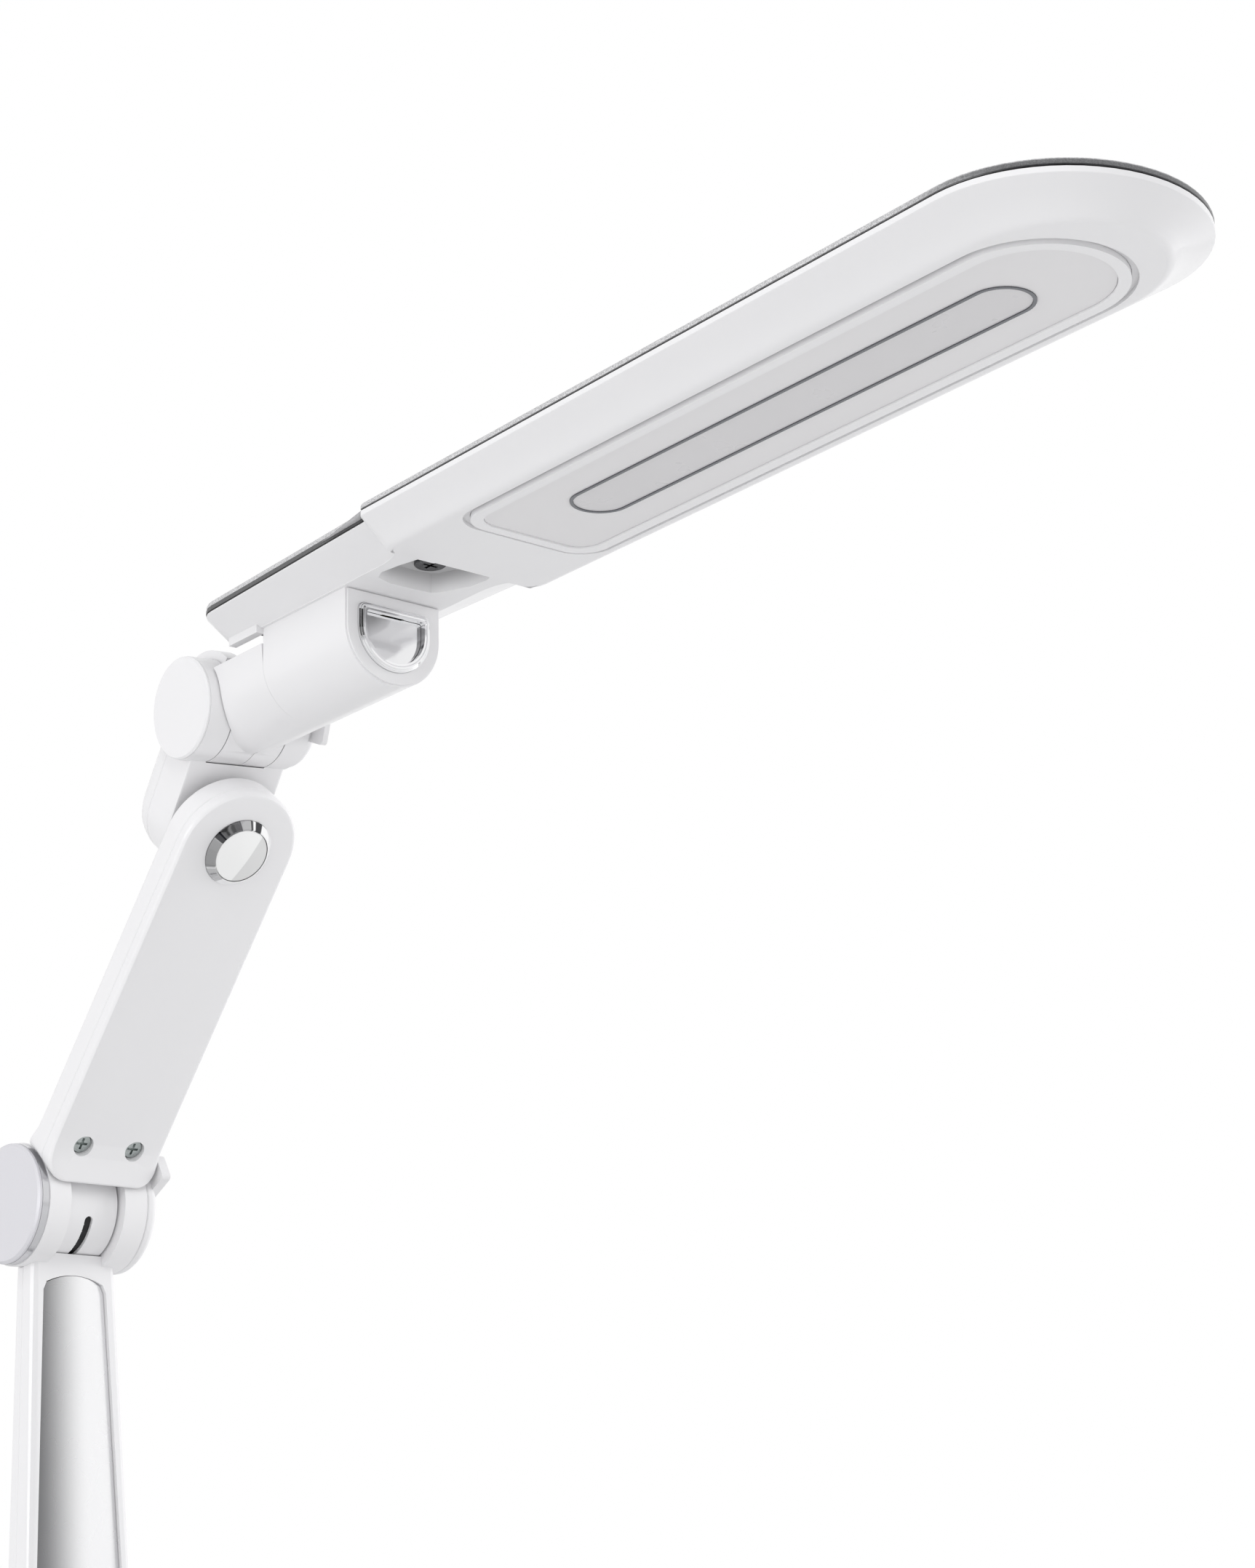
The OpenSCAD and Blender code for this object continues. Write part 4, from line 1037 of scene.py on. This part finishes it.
@dataclass
class WeightedBase(SubAssembly):
    """The base with its hinge, ballast, switch and inlet."""

    finishes: dict[str, Finishes] = field(
        default_factory=lambda: {
            "base_housing": Finishes.WHITE_GLOSS,
            "base_hinge_ears": Finishes.WHITE_GLOSS,
            "base_bottom_plate": Finishes.PLATE,
            "base_ballast": Finishes.IRON,
            "base_feet": Finishes.RUBBER,
            "base_screws": Finishes.STEEL,
            "base_control_board": Finishes.BOARD,
            "base_switch": Finishes.BLACK,
            "power_button": Finishes.CAP_SILVER,
            "power_inlet": Finishes.BLACK,
            "base_hinge_axle": Finishes.STEEL,
            "base_hinge_caps": Finishes.CAP_SILVER,
            "base_hinge_washers": Finishes.WASHER,
        }
    )


@dataclass
class LowerArm(SubAssembly):
    """The lower arm with its silver insert and the fixed half of the elbow."""

    finishes: dict[str, Finishes] = field(
        default_factory=lambda: {
            "lower_arm_front": Finishes.WHITE_GLOSS,
            "lower_arm_rear": Finishes.WHITE_GLOSS,
            "lower_arm_insert": Finishes.INSERT,
            "lower_arm_stiffener": Finishes.STEEL,
            "lower_arm_screws": Finishes.SCREW,
            "elbow_axle": Finishes.STEEL,
            "elbow_cap": Finishes.CAP_SILVER,
            "elbow_cap_rim": Finishes.RIM_SILVER,
            "elbow_knob": Finishes.WHITE_SATIN,
        }
    )


@dataclass
class UpperArm(SubAssembly):
    """The upper arm with the elbow drum and the swivel."""

    drum_radius: float = 15.9
    slot_half: float = 1.75
    slot_x: float = -0.7
    slot_from: float = -18.8
    slot_sweep: float = 72.0
    sweep_steps: int = 24
    collar_half: float = 0.3
    collar_sunk: float = 0.04
    collar_depth: float = 3.0
    sleeve_top: float = 1.0
    sleeve_foot: float = 2.9
    sleeve_play: float = 0.02
    finishes: dict[str, Finishes] = field(
        default_factory=lambda: {
            "upper_arm_front": Finishes.WHITE_GLOSS,
            "upper_arm_rear": Finishes.WHITE_GLOSS,
            "elbow_drum": Finishes.WHITE_GLOSS,
            "elbow_washers": Finishes.WASHER,
            "upper_arm_screws": Finishes.SCREW,
            "swivel_ring": Finishes.SWIVEL_RING,
            "swivel_cap": Finishes.SWIVEL_CAP,
            "swivel_pin": Finishes.STEEL,
            "swivel_nut": Finishes.BRASS,
        }
    )

    def on_drum(self, across: float, turn: float, depth: float) -> Point:
        """The point so far across the slot, along it in radians, and below the drum's skin."""
        angle, radius = math.radians(self.slot_from) + turn, self.drum_radius - depth
        return (self.slot_x + across, -radius * math.cos(angle), -radius * math.sin(angle))

    def slot_side(self, half: float) -> list[Pair]:
        """Follows the slot's right side over its two round ends.

        Args:
            half: Half of the slot's width.

        Returns:
            How far across and how far along in radians each point is, from the lower end up.
        """
        sweep, cap = math.radians(self.slot_sweep), half / self.drum_radius
        arc, steps = angles(first=6, step=12, count=8), self.sweep_steps
        low = [(half * math.sin(a), -cap * math.cos(a)) for a in arc]
        middle = [(half, sweep * i / steps) for i in range(steps + 1)]
        high = [(half * math.sin(a), sweep + cap * math.cos(a)) for a in reversed(arc)]
        return low + middle + high

    def slot_ring(self, half: float, depth: float) -> list[Point]:
        """The slot's outline, once round.

        Args:
            half: Half of its width.
            depth: How far it lies below the drum's skin.

        Returns:
            The outline's points in the upper arm's frame.
        """
        side = self.slot_side(half)
        right = [self.on_drum(across, turn, depth) for across, turn in side]
        left = [self.on_drum(-across, turn, depth) for across, turn in reversed(side)]
        return right + left

    def build(self) -> None:
        """Lines the drum's slot with a smooth collar and lays a black sleeve in it, painted shade
        that darkens the slot.
        """
        wide, narrow = self.slot_half + self.collar_half, self.slot_half - self.collar_half
        sunk, deep = self.collar_sunk, self.collar_depth
        collar = [
            self.slot_ring(half, depth)
            for half, depth in ((wide, sunk), (narrow, 0.0), (narrow, deep), (wide, deep))
        ]
        up = self.stance.upper
        new_piece("slot_collar", lofted(collar, up, loop=True), Finishes.WHITE_GLOSS, "upper_arm")
        top, foot = self.sleeve_top, self.sleeve_foot
        sleeve = [
            [
                self.on_drum(across, turn, depth)
                for across, depth in ((-half, top), (half, top), (half, foot), (-half, foot))
            ]
            for half, turn in self.slot_side(narrow - self.sleeve_play)
        ]
        # painted shade: the black sleeve darkens the slot and stands in for the cable seen in it
        new_piece("slot_shade_sleeve", lofted(sleeve, up), Finishes.SHADE, "upper_arm")


@dataclass
class SwivelLink(SubAssembly):
    """The short link between the swivel and the knuckle."""

    finishes: dict[str, Finishes] = field(
        default_factory=lambda: {
            "link_front": Finishes.WHITE_GLOSS,
            "link_rear": Finishes.WHITE_GLOSS,
            "link_bush": Finishes.IVORY,
            "swivel_washer": Finishes.WASHER,
            "link_screws": Finishes.SCREW,
            "knuckle_axle": Finishes.STEEL,
            "knuckle_cap": Finishes.WHITE_GLOSS,
            "knuckle_cap_rim": Finishes.WHITE_GLOSS,
            "knuckle_knob": Finishes.WHITE_SATIN,
        }
    )


@dataclass
class TiltBarrel(SubAssembly):
    """The tilting sleeve and the barrel that rolls in it.

    Each trim step is an inset from the trim's outer edge and a height ahead of the barrel's face.
    """

    finishes: dict[str, Finishes] = field(
        default_factory=lambda: {
            "tilt_sleeve": Finishes.WHITE_GLOSS,
            "knuckle_washers": Finishes.WASHER,
            "roll_shaft": Finishes.STEEL,
            "roll_nut": Finishes.BRASS,
            "roll_washer": Finishes.WASHER,
            "barrel_housing": Finishes.WHITE_GLOSS,
            "barrel_trim_frame": Finishes.CHROME,
            "barrel_trim_mirror": Finishes.SHADED_CHROME,
        }
    )
    face_u: float = 84.0
    trim_radius: float = 12.5
    trim_up: float = 6.8
    trim_corner: float = 2.2
    corner_loss: float = 0.6
    corner_least: float = 0.4
    trim_steps: tuple[Pair, ...] = (
        (-0.03, 0.1),
        (0.05, 0.55),
        (0.95, 1.4),
        (1.35, 1.48),
        (1.7, 1.42),
        (2.25, 0.3),
        (2.25, 0.1),
    )

    def trim_ring(self, inset: float, ahead: float) -> list[Point]:
        """The trim's outline, round below and square above.

        Args:
            inset: How far it lies inside the trim's outer edge.
            ahead: How far it stands in front of the barrel's face.

        Returns:
            The outline's points in the head's frame.
        """
        r = self.trim_radius - inset
        c = max(self.corner_least, self.trim_corner - self.corner_loss * inset)
        top, lift, far = self.trim_up - inset, self.stance.barrel_w, self.face_u + ahead
        below = angles(first=180, step=6, count=31)
        points = [(r * math.cos(a), r * math.sin(a)) for a in below]
        for x, first in ((r - c, 0), (c - r, 90)):
            corner = angles(first, step=15, count=7)
            points += [(x + c * math.cos(a), top - c + c * math.sin(a)) for a in corner]
        return [(x, -far, lift + w) for x, w in points]

    def build(self) -> None:
        """Rounds the trim's frame over with a polished bevel."""
        rings = [self.trim_ring(inset, ahead) for inset, ahead in self.trim_steps]
        mesh = lofted(rings, self.stance.head, loop=True)
        new_piece("trim_bevel", mesh, Finishes.CHROME, "head")


@dataclass
class LightHead(SubAssembly):
    """The flat head with its cover, diffuser, inlay and light source.

    Places are in the head's frame: u along it from the knuckle's axis, and heights up from there.
    The step is how far the neck widens into the head, and over what length.
    """

    finishes: dict[str, Finishes] = field(
        default_factory=lambda: {
            "head_housing": Finishes.HEAD_GLOSS,
            "top_cover": Finishes.COVER,
            "cover_gasket": Finishes.RUBBER,
            "neck_screw": Finishes.SHADED_SCREW_STEEL,
            "light_ring": Finishes.WHITE_GLOSS,
            "diffuser": Finishes.OPAL,
            "inlay_frame": Finishes.SHADED_LINE_CHROME,
            "inlay_lens": Finishes.LENS,
            "light_guide": Finishes.ACRYLIC,
            "led_board": Finishes.LED_BOARD,
            "leds": Finishes.LED,
            "heat_spreader": Finishes.STEEL,
        }
    )
    tail_u: float = 21.0
    tail_half: float = 28.6
    tail_radius: float = 9.0
    neck_u: float = 114.5
    neck_half: float = 32.2
    step: Pair = (2.3, 4.0)
    skirt_low: float = 18.95
    skirt_high: float = 20.02
    skirt_proud: float = 0.12
    skirt_root: float = 0.06
    skirt_end: float = 0.12
    skirt_taper: int = 6
    seal_height: float = 0.45
    seal_back: float = 0.05
    cover_top: float = 22.1
    top_play: float = 0.02

    def neck_edge(self) -> list[tuple[float, float, float]]:
        """Follows one half of the neck's outline from the middle of the tail.

        Returns:
            Each point's place across and along, and how far up the step it is, from 0 to 1.
        """
        r = self.tail_radius
        corner = [
            (self.tail_half - r + r * math.cos(a), self.tail_u + r + r * math.sin(a), 0.0)
            for a in angles(first=-90, step=15, count=7)
        ]
        out, ahead = self.step
        rise = [
            (
                self.neck_half + out * (1 - math.cos(a)),
                self.neck_u + ahead * math.sin(a),
                math.sin(a),
            )
            for a in angles(first=0, step=9, count=9)
        ]
        return corner + rise

    def band(self, name: str, low: float, high: float, proud: float, finish: Finishes) -> None:
        """Makes a thin band round the neck, which narrows to a fine edge at the step.

        Args:
            name: The piece's name.
            low: Height of its lower edge.
            high: Height of its upper edge.
            proud: How far it stands out from the housing.
            finish: What it is made of.
        """
        half, root = self.neck_edge(), -self.skirt_root
        path = [(-x, u, rise) for x, u, rise in reversed(half)] + half
        rings = []
        for i, (x, u, rise) in enumerate(path):
            before, after = path[max(i - 1, 0)], path[min(i + 1, len(path) - 1)]
            run = (Vector(after[:2]) - Vector(before[:2])).normalized()
            out = Vector((run.y, -run.x))
            foot = low + (high - self.skirt_end - low) * rise**self.skirt_taper
            rings.append(
                [
                    (x + out.x * d, -(u + out.y * d), w)
                    for d, w in ((root, foot), (proud, foot), (proud, high), (root, high))
                ]
            )
        new_piece(name, lofted(rings, self.stance.head), finish, "head")

    def even_cover(self) -> None:
        """Replaces the cover by one whose flat top is a single clean face."""
        mesh = bmesh.new()
        mesh.from_mesh(self.frame["nodes"]["top_cover"].data)
        bmesh.ops.remove_doubles(mesh, verts=mesh.verts, dist=SAME_PLACE)
        to_head, top = self.stance.head.inverted(), (self.cover_top - self.top_play) * MM
        flat = [
            face for face in mesh.faces if all((to_head @ vert.co).z > top for vert in face.verts)
        ]
        bmesh.ops.delete(mesh, geom=flat, context="FACES_ONLY")
        loose = [edge for edge in mesh.edges if not edge.link_faces]
        bmesh.ops.delete(mesh, geom=loose, context="EDGES")
        rim = [edge for edge in mesh.edges if edge.is_boundary]
        bmesh.ops.contextual_create(mesh, geom=rim)
        cover = new_piece("head_cover", mesh, Finishes.COVER, "head")
        smooth_edges(cover)
        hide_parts("top_cover")

    def build(self) -> None:
        """Evens the cover, and folds its skirt and its seal down round the neck."""
        self.even_cover()
        low, proud = self.skirt_low, self.skirt_proud
        self.band("cover_skirt", low, self.skirt_high, proud, Finishes.COVER)
        seal_low, seal_proud = low - self.seal_height, proud - self.seal_back
        self.band("skirt_seal", seal_low, low, seal_proud, Finishes.RUBBER)


# ------------------------------------------------------------------ studio


@dataclass(frozen=True)
class Aimed:
    """Something that stands round the lamp and faces the middle of its upper half.

    The azimuth is 0 straight in front of the lamp, at -Y, and 90 degrees at +X.
    """

    name: str
    azimuth: float
    elevation: float
    distance: float
    target: Point = (0.0, -0.15, 0.33)

    def face(self, thing: bpy.types.Object, forward: str) -> None:
        """Places the thing, turns it towards the lamp and adds it to the scene.

        Args:
            thing: The object.
            forward: The axis of the object that points at the lamp.
        """
        a, e = math.radians(self.azimuth), math.radians(self.elevation)
        away = Vector((math.sin(a) * math.cos(e), -math.cos(a) * math.cos(e), math.sin(e)))
        thing.location = Vector(self.target) + away * self.distance
        thing.rotation_euler = (-away).to_track_quat(forward, "Y").to_euler()
        bpy.context.scene.collection.objects.link(thing)


@dataclass(frozen=True)
class Softbox(Aimed):
    """A square soft lamp."""

    size: float = 1.3
    power: float = 10.0
    mirrored: bool = True

    def stand(self) -> None:
        """Makes the lamp and places it."""
        data = bpy.data.lights.new(self.name, "AREA")
        data.shape, data.size, data.energy = "SQUARE", self.size, self.power
        lamp = bpy.data.objects.new(self.name, data)
        lamp.visible_glossy = self.mirrored
        self.face(lamp, "-Z")


@dataclass(frozen=True)
class Flag(Aimed):
    """A grey card that only reflections see, to give polished metal something dark to mirror."""

    width: float = 0.5
    height: float = 0.5
    grey: float = 0.1

    def stand(self) -> None:
        """Makes the card and places it."""
        mesh = bmesh.new()
        half_w, half_h = self.width / 2, self.height / 2
        corners = ((-half_w, -half_h), (half_w, -half_h), (half_w, half_h), (-half_w, half_h))
        mesh.faces.new([mesh.verts.new((x, y, 0)) for x, y in corners])
        data = bpy.data.meshes.new(self.name)
        mesh.to_mesh(data)
        mesh.free()
        graph = Graph(self.name)
        graph.node_out(
            graph.node("ShaderNodeEmission", None, {"Color": (self.grey,) * 3, "Strength": 1.0})
        )
        data.materials.append(graph.material)
        card = bpy.data.objects.new(self.name, data)
        card.visible_camera = card.visible_diffuse = card.visible_shadow = False
        card.visible_transmission = False
        self.face(card, "Z")


@dataclass(frozen=True)
class Studio:
    """A pale table, an even white surround, soft lamps and the photograph's camera.

    The focal length is in pixels of a picture of the given height.
    """

    camera_place: Point = (-0.6079, -0.9242, 0.0746)
    azimuth: float = -43.083
    elevation: float = -17.655
    roll: float = -3.668
    focal_pixels: float = 4774.9
    picture_height: float = 2156.0
    sensor: float = 36.0
    clip: Pair = (0.05, 50.0)
    surround: float = 0.6
    surround_tint: Colour = (0.985, 0.99, 1.0)
    floor_radius: float = 4.0
    paper: tuple[Colour, Colour] = ((0.86, 0.86, 0.86), (0.9, 0.9, 0.9))
    paper_roughness: float = 0.8

    def camera(self) -> None:
        """Adds the camera, from the fit of the lamp's own edges in the photograph."""
        a, e, r = (math.radians(v) for v in (self.azimuth, self.elevation, self.roll))
        back = Vector((math.sin(a) * math.cos(e), -math.cos(a) * math.cos(e), math.sin(e)))
        right = Vector((math.cos(a), math.sin(a), 0))
        up = back.cross(right)
        side = right * math.cos(r) + up * math.sin(r)
        top = up * math.cos(r) - right * math.sin(r)
        data = bpy.data.cameras.new("camera")
        data.sensor_width, data.sensor_fit = self.sensor, "AUTO"
        data.lens = self.sensor * self.focal_pixels / self.picture_height
        data.clip_start, data.clip_end = self.clip
        camera = bpy.data.objects.new("camera", data)
        turn = Matrix((side, top, back)).transposed().to_4x4()
        camera.matrix_world = Matrix.Translation(self.camera_place) @ turn
        bpy.context.scene.collection.objects.link(camera)
        bpy.context.scene.camera = camera

    def world(self) -> None:
        """Lights the lamp evenly from all round, and shows plain white behind it."""
        world = bpy.data.worlds.new("surround")
        world.use_nodes = True
        nodes, links = world.node_tree.nodes, world.node_tree.links
        nodes.clear()
        path, clear = nodes.new("ShaderNodeLightPath"), nodes.new("ShaderNodeBackground")
        soft, mix = nodes.new("ShaderNodeBackground"), nodes.new("ShaderNodeMixShader")
        clear.inputs["Color"].default_value = (1, 1, 1, 1)
        soft.inputs["Color"].default_value = (*self.surround_tint, 1)
        soft.inputs["Strength"].default_value = self.surround
        seen = path.outputs["Is Camera Ray"]
        for ray in ("Is Glossy Ray", "Is Transmission Ray"):
            both = nodes.new("ShaderNodeMath")
            both.operation = "MAXIMUM"
            links.new(seen, both.inputs[0])
            links.new(path.outputs[ray], both.inputs[1])
            seen = both.outputs[0]
        links.new(seen, mix.inputs[0])
        links.new(soft.outputs[0], mix.inputs[1])
        links.new(clear.outputs[0], mix.inputs[2])
        links.new(mix.outputs[0], nodes.new("ShaderNodeOutputWorld").inputs[0])
        bpy.context.scene.world = world

    def floor(self) -> None:
        """Adds the table top."""
        mesh = bmesh.new()
        bmesh.ops.create_circle(mesh, cap_ends=True, segments=96, radius=self.floor_radius)
        data = bpy.data.meshes.new("table_top")
        mesh.to_mesh(data)
        mesh.free()
        graph = Graph("table_top_paper")
        data.materials.append(
            graph.finish(
                Base_Color=graph.blend(graph.noise(size=300, detail=2), *self.paper),
                Roughness=self.paper_roughness,
            )
        )
        table = bpy.data.objects.new("table_top", data)
        bpy.context.scene.collection.objects.link(table)

    def lamps(self) -> None:
        """Adds the soft lamps and the dark cards."""
        for thing in (
            Softbox("left_softbox", -97.0, 0.0, 2.2, power=16),
            Softbox("camera_softbox", -43.0, 35.0, 2.2, power=10.5, mirrored=False),
            Softbox("low_fill", -25.0, -5.0, 2.2, power=2.6, mirrored=False),
            Softbox("right_softbox", 75.0, 10.0, 2.2, power=27, mirrored=False),
            Flag("camera_stand", -44.0, 9.0, 2.6, width=1.7, height=1.2, grey=0.16),
            Flag("dark_curtain", -8.0, 10.0, 2.6, width=1.1, height=1.0, grey=0.4),
            Flag("left_screen", -60.0, 21.0, 2.3, width=0.7, height=0.5, grey=0.04),
        ):
            thing.stand()

    def set_up(self) -> None:
        """Builds the whole studio."""
        bpy.context.scene.view_settings.view_transform = "Standard"
        self.camera()
        self.world()
        self.floor()
        self.lamps()


def main() -> None:
    """Loads the frame, dresses every sub-assembly, and sets up the studio."""
    logging.basicConfig(level=logging.INFO, format="%(name)s: %(message)s")
    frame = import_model()
    stance = Stance()
    kinds: tuple[type[SubAssembly], ...] = (
        WeightedBase,
        LowerArm,
        UpperArm,
        SwivelLink,
        TiltBarrel,
        LightHead,
    )
    for kind in kinds:
        part = kind(frame, stance)
        part.dress()
        part.build()
    Studio().set_up()


if __name__ == "__main__":
    main()
